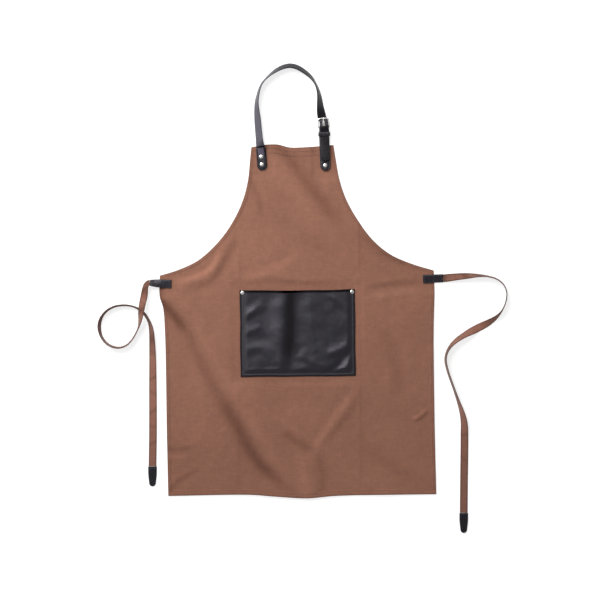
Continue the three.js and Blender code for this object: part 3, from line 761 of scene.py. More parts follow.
# Distances in from the edges at which the panel has points, closer together at the seams, in millimetres.
SIDE_STEPS = [0, 0.35, 1.0, 2.2, 3.6, 5.0, 6.0, 6.6, 7.1, 7.6, 8.1, 8.7, 9.8, 11.5]
HEM_STEPS = [0, 0.4, 1, 2, *np.arange(3.5, 10.5, 1.6), 10.9, 11.5, 12.0, 12.5, 13.0, 13.8, 15.5]
BIB_STEPS = [0, 0.4, 1, 2.2, *np.arange(4, 20, 1.6), 20.6, 21.2, 21.7, 22.2, 22.7, 23.6, 25.5]
# Rows between the hems: from y, to y, pitch. None stands for the rows beside the hem and the bib's top.
ROW_BANDS = [(None, -30, 4), (-30, 6, 2), (6, 48, 1), (48, 80, 2), (80, None, 4)]
COLUMNS = 144  # between the side steps


def edge_curve(points, samples=400):
    curve, _ = catmull(np.array(points) * MM, samples)
    return curve


def sorted_edge(curves, axis):
    """The edge made of the curves, as (places along the axis, the other coordinate there)."""
    curve = np.vstack([edge_curve(points) for points in curves])
    order = np.argsort(curve[:, axis], kind="stable")
    return curve[order, axis], curve[order, 1 - axis]


def distance_to_line(points, line):
    """Signed distance from points to a polyline, positive on its left, and the share of the way along it."""
    best = np.full(len(points), np.inf)
    signed = np.zeros(len(points))
    share = np.zeros(len(points))
    spans = np.diff(line, axis=0)
    lengths = np.linalg.norm(spans, axis=1)
    starts = np.concatenate([[0], np.cumsum(lengths)])
    for a, span, length, start in zip(line[:-1], spans, lengths, starts):
        rel = points - a
        t = np.clip((rel @ span) / length**2, 0, 1)
        off = rel - t[:, None] * span
        d = np.linalg.norm(off, axis=1)
        side = np.sign(span[0] * rel[:, 1] - span[1] * rel[:, 0])
        closer = d < best
        best = np.where(closer, d, best)
        signed = np.where(closer, side * d, signed)
        share = np.where(closer, (start + t * length) / starts[-1], share)
    return signed, share


def fold_bands(points, folds, light_way, samples, end_share, least):
    """For each fold: its slope, the distance towards the light from its line, and how strong it is there."""
    for line, width, slope in folds:
        curve, _ = catmull(np.array(line) * MM, samples)
        away, share = distance_to_line(points, curve)
        way = curve[-1] - curve[0]
        toward = np.sign(np.array([-way[1], way[0]]) @ light_way)
        fade = smoothstep(share, 0.0, end_share) * (1 - smoothstep(share, 1 - end_share, 1.0)) + least
        yield slope, toward * away, np.exp(-(away / (width * MM)) ** 2) * fade


def crumples(points, sizes, seed, count):
    """Height of waves that run in all directions: some of each (wavelength, height in millimetres)."""
    draws = np.random.default_rng(seed)
    height = np.zeros(len(points))
    for scale, amount in sizes:
        for _ in range(count):
            angle, phase = draws.uniform(0, 2 * math.pi, 2)
            wave = 2 * math.pi / (scale * draws.uniform(0.8, 1.25))
            way = [math.cos(angle), math.sin(angle)]
            height += amount * MM / count * np.sin(wave * (points @ way) + phase)
    return height


def soft_floor(height, softness):
    """The height, kept above zero with a soft bend."""
    return softness * np.logaddexp(0, height / softness)


def fold_shape(points):
    """Height of the folds at each (x, y), and how much painted shade each point gets, painted light where
    below zero.
    """
    height = np.zeros(len(points))
    shade = np.zeros(len(points))
    bands = fold_bands(points, FOLDS, LIGHT_WAY, samples=24, end_share=0.22, least=0.12)
    for slope, away, band in bands:
        height += FOLD_STRENGTH * slope * away * band
        shade += slope * band
    for top_x, foot_x, top_y, foot_y in PRESSED:
        line = np.array([(top_x, top_y), (foot_x, foot_y)]) * MM
        away, share = distance_to_line(points, line)
        fade = smoothstep(share, 0.0, 0.1) * (1 - smoothstep(share, 0.93, 1.0))
        height += PRESSED_HEIGHT * np.exp(-np.abs(away) / (3.2 * MM)) * fade
        shade += PRESSED_PAINTED_SHADE * np.exp(-((away - 2.5 * MM) / (2.5 * MM)) ** 2) * fade
    return height, shade


def flat_zones(points):
    """0 where something is fastened to the canvas, and 1 away from there."""
    pocket = np.abs(to_local(points, POCKET_AT, POCKET_TURN)) - np.array([POCKET_WIDTH, POCKET_HEIGHT]) / 2
    keep = smoothstep(pocket.max(axis=1), 0.0, 26 * MM)
    for corners in FASTENED:
        low, high = np.array(corners) * MM
        gap = np.maximum(np.maximum(low - points, points - high), 0)
        keep *= smoothstep(np.hypot(*gap.T), 0.0, 22 * MM)
    return keep


def to_local(points, centre, turn):
    rel = points - centre
    cos, sin = math.cos(turn), math.sin(turn)
    return np.stack([rel[:, 0] * cos + rel[:, 1] * sin, rel[:, 1] * cos - rel[:, 0] * sin], 1)


def to_world(points, centre, turn):
    points = np.atleast_2d(points)
    cos, sin = math.cos(turn), math.sin(turn)
    x, y = points.T
    return np.stack([x * cos - y * sin, x * sin + y * cos], 1) + centre


def canvas_height(points, hem):
    """The canvas's top: folds, waves and lifted edges over the floor, and a step up on the hems."""
    waves = crumples(points, WAVES, seed=21, count=7)
    lifted = (fold_shape(points)[0] + waves + lifts(points) + CANVAS_LIE) * flat_zones(points)
    return CLOTH + soft_floor(lifted, 0.5 * MM) + HEM_RISE * hem


def lifts(points):
    """Places where the edge of the cloth stands off the floor."""
    height = np.zeros(len(points))
    for x, y, reach_x, reach_y, amount in LIFTS:
        gap = (points / MM - [x, y]) / [reach_x, reach_y]
        height += amount * MM * np.exp(-(gap ** 2).sum(axis=1))
    return height


def hem_profile(distance, width):
    """1 on the doubled hem, falling to 0 past its sewn inner edge."""
    return 1 - smoothstep(distance, width - 0.3 * MM, width + 0.5 * MM)


def stitch_groove(distance, at, width=0.8 * MM):
    return np.exp(-((distance - at) / width) ** 2)


def canvas_row(kind, level, edges):
    """Plan points of one row of the panel, beside its hem, in its middle or beside the bib's top."""
    left_edge, right_edge, low_edge, high_edge = edges
    side_steps = np.array(SIDE_STEPS) * MM
    shares = np.linspace(0, 1, COLUMNS)[1:-1]
    guess = {
        "hem": np.min(low_edge[1]) + level,
        "middle": level,
        "bib": np.max(high_edge[1]) - level,
    }[kind]
    for _ in range(3):  # the sides depend on the row's height, and its height on where it is across
        left = np.interp(guess, *left_edge) + side_steps
        right = np.interp(guess, *right_edge) - side_steps
        x = np.concatenate([left, left[-1] + (right[-1] - left[-1]) * shares, right[::-1]])
        if kind == "hem":
            y = np.interp(x, *low_edge) + level
        elif kind == "bib":
            y = np.interp(x, *high_edge) - level
        else:
            y = np.full(len(x), level)
        guess = y.mean()
    share = (x - x[0]) / (x[-1] - x[0])
    off_left = np.interp(y, *left_edge) - x[0]
    off_right = np.interp(y, *right_edge) - x[-1]
    return np.stack([x + off_left * (1 - share) + off_right * share, y], 1)


def canvas_grid():
    """Plan points of the panel as a grid, and their distances from the bib top, hem and nearer side."""
    edges = (
        sorted_edge([LEFT_SIDE, LEFT_ARMHOLE], 1),
        sorted_edge([RIGHT_SIDE, RIGHT_ARMHOLE], 1),
        sorted_edge([HEM], 0),
        sorted_edge([BIB_TOP], 0),
    )
    low_edge, high_edge = edges[2:]
    lowest = np.min(low_edge[1]) + 28 * MM
    highest = np.max(high_edge[1]) - 38 * MM
    levels = [("hem", step * MM) for step in HEM_STEPS]
    for start, stop, pitch in ROW_BANDS:
        start = lowest if start is None else start * MM
        stop = highest if stop is None else stop * MM
        levels += [("middle", level) for level in np.arange(start, stop, pitch * MM)]
    levels += [("bib", step * MM) for step in reversed(BIB_STEPS)]
    grid = []
    from_hem = []
    from_bib = []
    for kind, level in levels:
        row = canvas_row(kind, level, edges)
        grid.append(row)
        from_hem.append(row[:, 1] - np.interp(row[:, 0], *low_edge))
        from_bib.append(np.interp(row[:, 0], *high_edge) - row[:, 1])
    grid = np.array(grid)
    outline_left = np.vstack([edge_curve(LEFT_SIDE), edge_curve(LEFT_ARMHOLE)])[::6]
    outline_right = np.vstack([edge_curve(RIGHT_ARMHOLE), edge_curve(RIGHT_SIDE)])[::6]
    flat = grid.reshape(-1, 2)
    near = [np.abs(distance_to_line(flat, line)[0]) for line in (outline_left, outline_right)]
    from_side = np.minimum(*near).reshape(grid.shape[:2])
    return grid, np.array(from_bib), np.array(from_hem), from_side


def canvas_piece(material):
    grid, from_bib, from_hem, from_side = canvas_grid()
    flat = grid.reshape(-1, 2)
    hem = np.maximum.reduce([
        hem_profile(from_bib, BIB_HEM),
        hem_profile(from_hem, BOTTOM_HEM),
        hem_profile(from_side, SIDE_HEM),
    ])
    puckers = np.sin(flat[:, 0] * 310 + np.sin(flat[:, 1] * 97) * 2).reshape(hem.shape)
    groove = np.maximum.reduce([
        *[stitch_groove(from_bib, seam) for seam in BIB_SEAMS],
        stitch_groove(from_hem, BOTTOM_SEAM),
        stitch_groove(from_side, SIDE_SEAM),
    ])
    top = canvas_height(flat, hem.ravel()).reshape(hem.shape)
    top += PUCKER * hem * puckers - SEAM_DEPTH * groove
    keep = flat_zones(flat).reshape(hem.shape)
    top = np.where(keep < 1, np.minimum(top, CANVAS * (1 - keep) + top * keep), top)
    edge = np.minimum.reduce([from_side, from_hem, from_bib])
    rounding = 0.55 * MM * np.sqrt(np.clip(1 - edge / (0.9 * MM), 0, 1))
    thick = CLOTH + HEM_RISE * hem
    upper = np.dstack([grid, top - rounding])
    lower = np.dstack([grid, np.maximum(top - thick + rounding, 0.05 * MM)])
    vertices = np.concatenate([upper.reshape(-1, 3), lower.reshape(-1, 3)])
    piece = make_piece(
        "canvas_panel", vertices, slab_faces(*hem.shape), material, replaces=["apron_body"],
        sharp=60,
    )
    # Painted shade in the creases, at the edges and in the stitch grooves, times the painted light falloff.
    shade = fold_shape(flat)[1] * CREASE_PAINTED_SHADE + EDGE_PAINTED_SHADE * np.exp(-(edge.ravel() / EDGE_PAINTED_SHADE_REACH) ** 2)
    tone = (1 - shade - SEAM_PAINTED_SHADE * groove.ravel()) * painted_light_falloff(flat)
    add_tone(piece, np.concatenate([tone, tone]))
    return piece, (grid, top)


def painted_light_falloff(points):
    """Painted light and shade: how light the cloth is painted, lighter across the waist and darker at the
    lower left, for the fall of the light.
    """
    x, y = points[:, 0], points[:, 1]
    waist = np.exp(-((y - 0.02) / 0.22) ** 2) * (1 - smoothstep(x, 0.06, 0.26))
    foot = smoothstep(-y, 0.28, 0.46) * (1 - smoothstep(x, -0.2, 0.1))
    return 1 + WAIST_PAINTED_LIGHT * waist - FOOT_PAINTED_SHADE * foot


def surface_lookup(grid, top):
    """A function from plan points to the height of the canvas's top, between the grid's points."""
    row_y = grid[:, grid.shape[1] // 2, 1]

    def height(points):
        values = []
        for x, y in np.atleast_2d(points):
            r = int(np.clip(np.searchsorted(row_y, y), 1, len(row_y) - 1))
            below = np.interp(x, grid[r - 1, :, 0], top[r - 1])
            above = np.interp(x, grid[r, :, 0], top[r])
            t = np.clip((y - row_y[r - 1]) / max(row_y[r] - row_y[r - 1], 1e-9), 0, 1)
            values.append(below + (above - below) * t)
        return np.array(values)

    return height


def hem_stitches(height):
    """Sewn lines of the hems, laid on the canvas."""
    stitches = Stitches()
    # Outline, points along it, distance in from it, and points left off at its start and end.
    seams = [
        *[(BIB_TOP, 90, seam, 3, 3) for seam in BIB_SEAMS],
        (HEM, 160, BOTTOM_SEAM, 3, 3),
        (RIGHT_ARMHOLE, 130, SIDE_SEAM, 4, 3),
        (LEFT_ARMHOLE, 130, SIDE_SEAM, 3, 4),
        (RIGHT_SIDE, 130, SIDE_SEAM, 2, 2),
        (LEFT_SIDE, 130, SIDE_SEAM, 2, 2),
    ]
    for outline, samples, distance, skip_start, skip_end in seams:
        curve = edge_curve(outline, samples)
        way = unit(np.gradient(curve, axis=0))
        plan = (curve + np.stack([way[:, 1], -way[:, 0]], 1) * distance)[skip_start:-skip_end]
        points = np.column_stack([plan, height(plan) + 0.05 * MM])
        stitches.run(points, upward(points), 3.1 * MM)
    return stitches


# ---- Pocket ----
# Folds of the pocket's front, as for the canvas, in the pocket's own frame.
POCKET_FOLDS = [
    ([(-19, 118), (-18, 60), (-20, 0), (-26, -60), (-30, -112)], 20, 0.34),
    ([(-60, 116), (-58, 60), (-60, 0), (-62, -50)], 23, -0.16),
    ([(20, 110), (22, 50), (20, 0), (16, -30)], 23, -0.12),
    ([(-142, 38), (-124, 52), (-100, 68), (-80, 84)], 14, -0.2),
    ([(-138, 26), (-118, 40), (-92, 54)], 10, 0.23),
    ([(-136, 4), (-112, 12), (-84, 24)], 12, -0.11),
    ([(-134, -8), (-110, 0), (-86, 8)], 10, 0.12),
    ([(-130, -38), (-106, -26), (-76, -18)], 13, -0.11),
    ([(-126, -52), (-98, -44), (-66, -50)], 13, 0.11),
    ([(66, 94), (90, 76), (108, 56), (130, 38)], 10, 0.20),
    ([(84, 96), (106, 78), (132, 62)], 9, -0.12),
    ([(60, -46), (88, -34), (112, -22), (138, -6)], 18, -0.12),
    ([(66, -60), (96, -50), (136, -34)], 12, 0.23),
    ([(68, -108), (94, -90), (118, -68), (148, -40)], 12, -0.46),
    ([(100, -104), (120, -90), (140, -72)], 9, 0.23),
    ([(-18, -58), (2, -46), (26, -34)], 15, -0.15),
    ([(-6, -60), (20, -68), (44, -82), (64, -98)], 12, 0.20),
    ([(-96, -92), (-66, -86), (-40, -84)], 9, -0.19),
    ([(-140, -96), (-122, -90), (-102, -88)], 8, -0.17),
    ([(20, -94), (50, -90), (76, -94)], 9, -0.12),
]
POCKET_WAY = np.array([-0.62, 0.78])
POCKET_WAVES = ((0.12, 1.6), (0.06, 0.9), (0.03, 0.4), (0.015, 0.14))  # wavelength, millimetres high
POCKET_SEAM = 5.8 * MM  # of its stitches from its edge
POCKET_MARGIN = [0, 0.12, 0.35, 0.8, 1.6, 3.0, 4.6, 5.3, 5.8, 6.3, 7.0, 8.2, 10.0]
POCKET_PITCH = 2.6 * MM
POCKET_LIE = 3.6 * MM  # of its folds' middle over the sewn margin


def pocket_height(x, y):
    """Height of the pocket's outer face over its sewn margin, in its own frame."""
    points = np.stack([x.ravel(), y.ravel()], 1)
    height = crumples(points, POCKET_WAVES, seed=5, count=6)
    bands = fold_bands(points, POCKET_FOLDS, POCKET_WAY, samples=20, end_share=0.25, least=0.1)
    for slope, away, band in bands:
        height += slope * away * band
    seam = smoothstep(POCKET_WIDTH / 2 - np.abs(x), 7.2 * MM, 20 * MM)
    seam = seam * smoothstep(y + POCKET_HEIGHT / 2, 7.2 * MM, 19 * MM)
    return soft_floor(POCKET_LIE + height.reshape(x.shape), 0.4 * MM) * seam


def pocket_steps(length):
    edge = np.array(POCKET_MARGIN) * MM
    inner = np.arange(edge[-1] + POCKET_PITCH, length - edge[-1], POCKET_PITCH)
    return np.concatenate([edge, inner, length - edge[::-1]]) - length / 2


def pocket_painted_light_and_shade(x, y, sewn, from_top, from_bottom):
    """Painted shadow along the turned top, dark sewn margin, painted highlight inside the seam, painted shade
    in the valley, painted light on the upper left.
    """
    tone = 1.06 - 0.8 * (1 - smoothstep(from_top, 4.8 * MM, 6.4 * MM))
    tone -= 0.42 * (1 - smoothstep(sewn, 3 * MM, 5.4 * MM))
    tone += 0.3 * np.exp(-((sewn - 6.6 * MM) / (0.9 * MM)) ** 2)
    tone -= 0.4 * np.exp(-((x + 19 * MM) / (21 * MM)) ** 2) * smoothstep(from_bottom, 20 * MM, 70 * MM)
    tone += 0.16 * np.exp(-((x + 72 * MM) / (38 * MM)) ** 2 - ((y - 38 * MM) / (60 * MM)) ** 2)
    return tone


def pocket_piece(material):
    x, y = pocket_steps(POCKET_WIDTH), pocket_steps(POCKET_HEIGHT)
    gy, gx = np.meshgrid(y, x, indexing="ij")
    from_side = POCKET_WIDTH / 2 - np.abs(gx)
    from_bottom = gy + POCKET_HEIGHT / 2
    from_top = POCKET_HEIGHT / 2 - gy
    sewn = np.minimum(from_side, from_bottom)
    nearest = np.minimum(sewn, from_top)
    groove = stitch_groove(sewn, POCKET_SEAM, 0.6 * MM) + stitch_groove(from_top, POCKET_SEAM, 0.6 * MM)
    inward = 1 - np.minimum(nearest / (0.8 * MM), 1)
    rounding = POCKET_LEATHER / 2 * (1 - np.sqrt(np.clip(1 - inward ** 2, 0, 1)))
    fold_lip = 0.5 * MM * (1 - smoothstep(from_top, 5.6 * MM, 7.4 * MM))
    base = ON_CANVAS + pocket_height(gx, gy)
    top = base + POCKET_LEATHER - rounding - 0.3 * MM * groove + fold_lip
    low = base + rounding
    sag = 2 * MM * (1 - (gx / (POCKET_WIDTH / 2)) ** 2) * smoothstep(gy, 0, POCKET_HEIGHT / 2)
    edge_x = gx + 0.5 * MM * np.sin(gy * 55) * (1 - smoothstep(from_side, 0, 30 * MM))
    edge_y = gy - sag + 0.35 * MM * np.sin(gx * 60) * (1 - smoothstep(nearest, 0, 30 * MM))
    plan = to_world(np.stack([edge_x.ravel(), edge_y.ravel()], 1), POCKET_AT, POCKET_TURN)
    vertices = np.concatenate([np.column_stack([plan, face.ravel()]) for face in (top, low)])
    piece = make_piece(
        "leather_pocket", vertices, slab_faces(*gx.shape), material, replaces=["pocket"],
        sharp=50,
    )
    tone = pocket_painted_light_and_shade(gx, gy, sewn, from_top, from_bottom).ravel()
    add_tone(piece, np.concatenate([tone, tone]))
    return piece, (x, y, top)


def pocket_stitches(stitches, grid):
    x, y, top = grid
    right = POCKET_WIDTH / 2 - POCKET_SEAM
    low, high = -POCKET_HEIGHT / 2 + POCKET_SEAM, POCKET_HEIGHT / 2 - 12 * MM
    corners = np.array([(-right, high), (-right, low), (right, low), (right, high)])
    shares = np.linspace(0, 1, 60)[:, None]
    line = np.vstack([a + (b - a) * shares for a, b in zip(corners[:-1], corners[1:])])
    rows = np.clip(np.searchsorted(y, line[:, 1]), 0, len(y) - 1)
    columns = np.clip(np.searchsorted(x, line[:, 0]), 0, len(x) - 1)
    plan = to_world(line, POCKET_AT, POCKET_TURN)
    points = np.column_stack([plan, top[rows, columns] + 0.12 * MM])
    stitches.run(points, upward(points), 3.6 * MM, 0.7 * MM, 0.34 * MM)


# ---- Straps on the bib ----
# Routes are rows of x, y, roll in degrees and lift, in millimetres. Through the buckle a row is x and y from
# its bar, and lift.
LEFT_RIVETS = [(-85.0, 296), (-83.6, 277.5)]
CHAPE_RIVETS = [-71.5, -91]
NECK_ROUTE = [
    (-82.8, 268, 0, 4.0), (-83.6, 282, 0, 4.0), (-85.2, 302, 0, 4.0), (-86.4, 315, 5, 4.0),
    (-88.8, 331, 33, 2.6), (-91.4, 357, 39, 0.5), (-93.8, 384.5, 41, 0.5), (-96, 413, 60, 0.5),
    (-95.8, 428, 67, 0.5), (-93.4, 442, 73, 0.5), (-89.8, 456.5, 77, 0.5), (-83.5, 471, 79, 0.5),
    (-71.5, 485, 78, 0.5), (-52.8, 500, 64, 0.5), (-35, 509.5, 57, 0.5), (-17, 513.5, 54, 0.5),
    (0, 510, 54, 0.5), (16, 501, 57, 0.5), (34, 486, 67, 0.5), (44.4, 471, 79, 0.5),
    (50.4, 456.5, 74, 0.5), (54, 440, 62, 0.5), (56.2, 416, 42, 0.7), (58.2, 401, 16, 1.8),
]
THROUGH_BUCKLE = [
    (-3.4, 26, 1.8), (-1.9, 21.5, 2.1), (0.2, 16.5, 3.8), (0.9, 12, 5.8), (1, 6, 8), (1.6, 0, 8.4),
    (2.4, -10, 6.5), (2.4, -20, 6.5), (2, -42, 6.5), (1, -62, 8), (0.2, -71.5, 8.6), (-0.4, -80.5, 8.9),
]
TAIL_HOLES = [-27, -52]
RIVET_HOLE = 2.3 * MM
TAIL_HOLE = 1.7 * MM
# Slots for the prong: half the width, distance past the bar in millimetres, and length of the straight part.
STRAP_SLOT = (2 * MM, 9.7, 10 * MM)
CHAPE_SLOT = (1.9 * MM, 0.2, 9 * MM)
# Heights between which the cutters of each piece reach.
NECK_CUT = (2 * MM, 14 * MM)
BACKING_CUT = (0, 8 * MM)
CHAPE_CUT = (0, 12 * MM)
CHAPE_SLOT_CUT = (-2 * MM, 14 * MM)
# How light the neck strap's face is painted at distances from its start, as painted light and painted shade.
# The dip is painted shade at a crease at the bib's edge.
NECK_PAINTED_LIGHT_AND_SHADE = [
    (0, 1.1), (22, 1.2), (34, 8.0), (48, 8.0), (50, 0.2), (53, 0.2), (56, 4.6), (120, 5.2), (190, 3.6),
    (230, 1.6), (265, 0.7), (340, 0.6), (400, 0.8), (440, 0.8), (470, 0.6), (900, 0.6),
]
BORDER_TONE = 0.7  # of the sewn border round its riveted end, at most
KEEPER_AT = -16 * MM  # along the buckle strap, from the bar
KEEPER_WALL = 1.2 * MM


def rows_to_metres(rows):
    return [(x * MM, y * MM, roll, lift * MM) for x, y, roll, lift in rows]


def from_buckle(x, y):
    return to_world(np.array([[x, y]]) * MM, BUCKLE_AT, BUCKLE_TURN)[0]


def buckle_line(y, z):
    """Points, across and normal of a band in the upright plane through the buckle's bar."""
    plan = to_world(np.stack([0 * y, y], 1), BUCKLE_AT, BUCKLE_TURN)
    centre = np.column_stack([plan, z + BAR_HEIGHT])
    across = np.tile(ACROSS_BUCKLE, (len(y), 1))
    return centre, across, np.cross(across, unit(np.gradient(centre, axis=0)))


def neck_strap(leather):
    """The strap from the left of the bib, round the neck, and through the buckle."""
    tail = [(*from_buckle(x, y), 0, lift * MM) for x, y, lift in THROUGH_BUCKLE]
    piece, *_ = strap_piece(
        "neck_strap_leather", rows_to_metres(NECK_ROUTE) + tail, STRAP_WIDTH, STRAP_THICKNESS, leather,
        "strap_leather", ["neck_strap"], ends=(STRAP_WIDTH / 2, STRAP_WIDTH / 2), spacing=1.2 * MM,
        crease=0.28 * MM, crown=0.06,
    )
    offset, place = woven(piece)
    # Painted light and shade along the strap, which also sets its gloss.
    tone = np.interp(place / MM, *zip(*NECK_PAINTED_LIGHT_AND_SHADE))
    border = smoothstep(np.abs(offset), 6.6 * MM, 7.8 * MM) * (1 - smoothstep(place, 47 * MM, 53 * MM))
    add_tone(piece, tone + (np.minimum(tone, BORDER_TONE) - tone) * border)
    radius, past_bar, stretch = STRAP_SLOT
    cutters = [peg(radius, *NECK_CUT, *from_buckle(0, past_bar), stretch, BUCKLE_TURN)]
    cutters += [peg(TAIL_HOLE, *NECK_CUT, *from_buckle(2.2, y)) for y in TAIL_HOLES]
    cutters += [peg(RIVET_HOLE, *NECK_CUT, x * MM, y * MM) for x, y in LEFT_RIVETS]
    cut_piece(piece, cutters)


def left_backing(leather):
    route = rows_to_metres([(-82.4, 263.4, 0, 1.9), (-84.2, 290, 0, 1.9), (-86, 316.5, 0, 1.9)])
    piece, *_ = strap_piece(
        "left_strap_backing_leather", route, CHAPE_WIDTH, BACKING, leather, "strap_leather",
        ["left_strap_backing"], ends=(CHAPE_WIDTH / 2, 0), crease=0.22 * MM,
    )
    cut_piece(piece, [peg(RIVET_HOLE, *BACKING_CUT, x * MM, y * MM) for x, y in LEFT_RIVETS])


def chape(leather):
    """The buckle strap: lower ply, loop round the bar, and upper ply, as one ribbon in an upright plane."""
    loop = WIRE + 0.35 * MM + LEATHER / 2
    slit = GAP / 2 + LEATHER / 2
    spread = 9 * MM
    legs = np.linspace(-CHAPE_LENGTH, -spread, 90)
    turn = np.linspace(-math.pi * 0.62, math.pi * 0.62, 40)
    arc_y, arc_z = loop * np.cos(turn), loop * np.sin(turn)
    blend = np.linspace(0, 1, 10)[1:-1]
    to_loop_y = -spread + (arc_y[0] + spread) * blend
    to_loop_z = slit + (abs(arc_z[0]) - slit) * smoothstep(blend, 0, 1)
    y = np.concatenate([legs, to_loop_y, arc_y, to_loop_y[::-1], legs[::-1]])
    z = np.concatenate([-slit + 0 * legs, -to_loop_z, arc_z, to_loop_z[::-1], slit + 0 * legs])
    y, z = soften(y, 1.0), soften(z, 1.0)
    s = travel(np.stack([y, z], 1))
    ends = (CHAPE_WIDTH / 2, CHAPE_WIDTH / 2)
    stations = dense_ends(s, *ends)
    y, z = np.interp(stations, s, y), np.interp(stations, s, z)
    waist = CHAPE_WIDTH - 2.1 * MM * smoothstep(y, -13 * MM, -5 * MM)
    piece = ribbon_piece(
        "chape_leather", (stations, *buckle_line(y, z)), CHAPE_WIDTH, LEATHER, leather, "strap_leather",
        ["right_chape"], crease=0.25 * MM, waist=waist, ends=ends,
    )
    radius, past_bar, stretch = CHAPE_SLOT
    cutters = [peg(RIVET_HOLE, *CHAPE_CUT, *from_buckle(0, y)) for y in CHAPE_RIVETS]
    cutters.append(peg(radius, *CHAPE_SLOT_CUT, *from_buckle(0, past_bar), stretch, BUCKLE_TURN))
    cut_piece(piece, cutters)


def sweep_ring(name, path, up, section, material, body, replaces, sharp=SHARP_ANGLE):
    """A closed sweep: path points in 3-D, one up direction, and a section of (outward, up) points."""
    along = unit(np.roll(path, -1, 0) - np.roll(path, 1, 0))
    outward = np.cross(along, up)
    section = np.asarray(section)
    vertices = path[:, None] + section[None, :, :1] * outward[:, None] + section[None, :, 1:] * up
    rows, columns = vertices.shape[:2]
    faces = grid_faces(rows, columns, wrap_rows=True, wrap_columns=True)
    return make_piece(name, vertices.reshape(-1, 3), faces, material, body, replaces, sharp)


def rounded_rectangle(left, right, low, high, radii, steps=14):
    """Points round a rectangle with corner radii in the order low left, low right, high right, high left."""
    corners = [(left, low, 1, 1, math.pi), (right, low, -1, 1, 1.5 * math.pi), (right, high, -1, -1, 0),
               (left, high, 1, -1, 0.5 * math.pi)]
    points = []
    for (x, y, sx, sy, start), radius in zip(corners, radii):
        for angle in np.linspace(start, start + math.pi / 2, steps):
            points.append((x + radius * (sx + math.cos(angle)), y + radius * (sy + math.sin(angle))))
    return np.array(points)


def fill_straights(points, pitch):
    """The closed outline with more points along its straight runs."""
    filled = []
    for a, b in zip(points, np.roll(points, -1, 0)):
        length = np.linalg.norm(b - a)
        count = max(1, int(length / pitch))
        if length > 1e-9:
            filled += [a + (b - a) * i / count for i in range(count)]
    return np.array(filled)


def keeper(leather):
    """A band round the buckle strap and the tail, with a line pressed along each of its outer edges."""
    half = KEEPER_WALL / 2
    band = 4.5 * MM
    left, right = -13.8 * MM, 15 * MM
    low, high = 0.3 * MM, TAIL_BASE + STRAP_THICKNESS + GAP + KEEPER_WALL
    outline = rounded_rectangle(left + half, right - half, low + half, high - half, [1.5 * MM] * 4)
    outline = fill_straights(outline, 0.9 * MM)
    across = np.stack([outline[:, 0], np.full(len(outline), KEEPER_AT)], 1)
    path = np.column_stack([to_world(across, BUCKLE_AT, BUCKLE_TURN), outline[:, 1]])
    way = np.array([-math.sin(BUCKLE_TURN), math.cos(BUCKLE_TURN), 0])
    # From the outer face to the inner one, as shares of half the wall and distances in from the band's edge.
    edge = [(1, 1.6), (0.8, 1.2), (1, 0.8), (0.75, 0.2), (0, 0), (-0.75, 0.2), (-1, 0.8), (-1, 3.5)]
    section = [(sign * share * half, sign * (band - inset * MM)) for sign in (1, -1) for share, inset in edge]
    sweep_ring("keeper_leather", path, way, section, leather, "keeper", ["keeper_loop"])


# ---- Metal ----
METAL_SHARP = 60
CAP_RADIUS = 4.6 * MM
CAP_HEIGHT = 1.5 * MM
POST_RADIUS = 1.9 * MM
# A back cap's profile: radius and height in millimetres.
BACK_CAP = [
    (0, 0.12), (1.2, 0.1), (1.7, 0.25), (2.2, 0.05), (4.14, 0.02), (4.508, 0.15), (4.6, 0.4), (4.462, 0.7),
    (0, 0.7),
]
POCKET_RIVET_INSET = 6.5 * MM


def buckle_frame(nickel):
    half = FRAME_WIDTH / 2 - WIRE
    outline = rounded_rectangle(-half, half, 0, FRAME_REACH, [2 * MM, 2 * MM, 6 * MM, 6 * MM])
    outline = fill_straights(outline, 0.8 * MM)
    cos, sin = math.cos(FRAME_TILT), math.sin(FRAME_TILT)
    plan = to_world(np.stack([outline[:, 0], outline[:, 1] * cos], 1), BUCKLE_AT, BUCKLE_TURN)
    path = np.column_stack([plan, BAR_HEIGHT + outline[:, 1] * sin])
    up = np.array([sin * math.sin(BUCKLE_TURN), -sin * math.cos(BUCKLE_TURN), cos])
    angles = np.linspace(0, 2 * math.pi, 20, endpoint=False)
    section = np.stack([WIRE * np.cos(angles), WIRE * np.sin(angles)], 1)
    sweep_ring(
        "buckle_frame_nickel", path, up, section, nickel, "buckle", ["buckle_frame"], METAL_SHARP,
    )


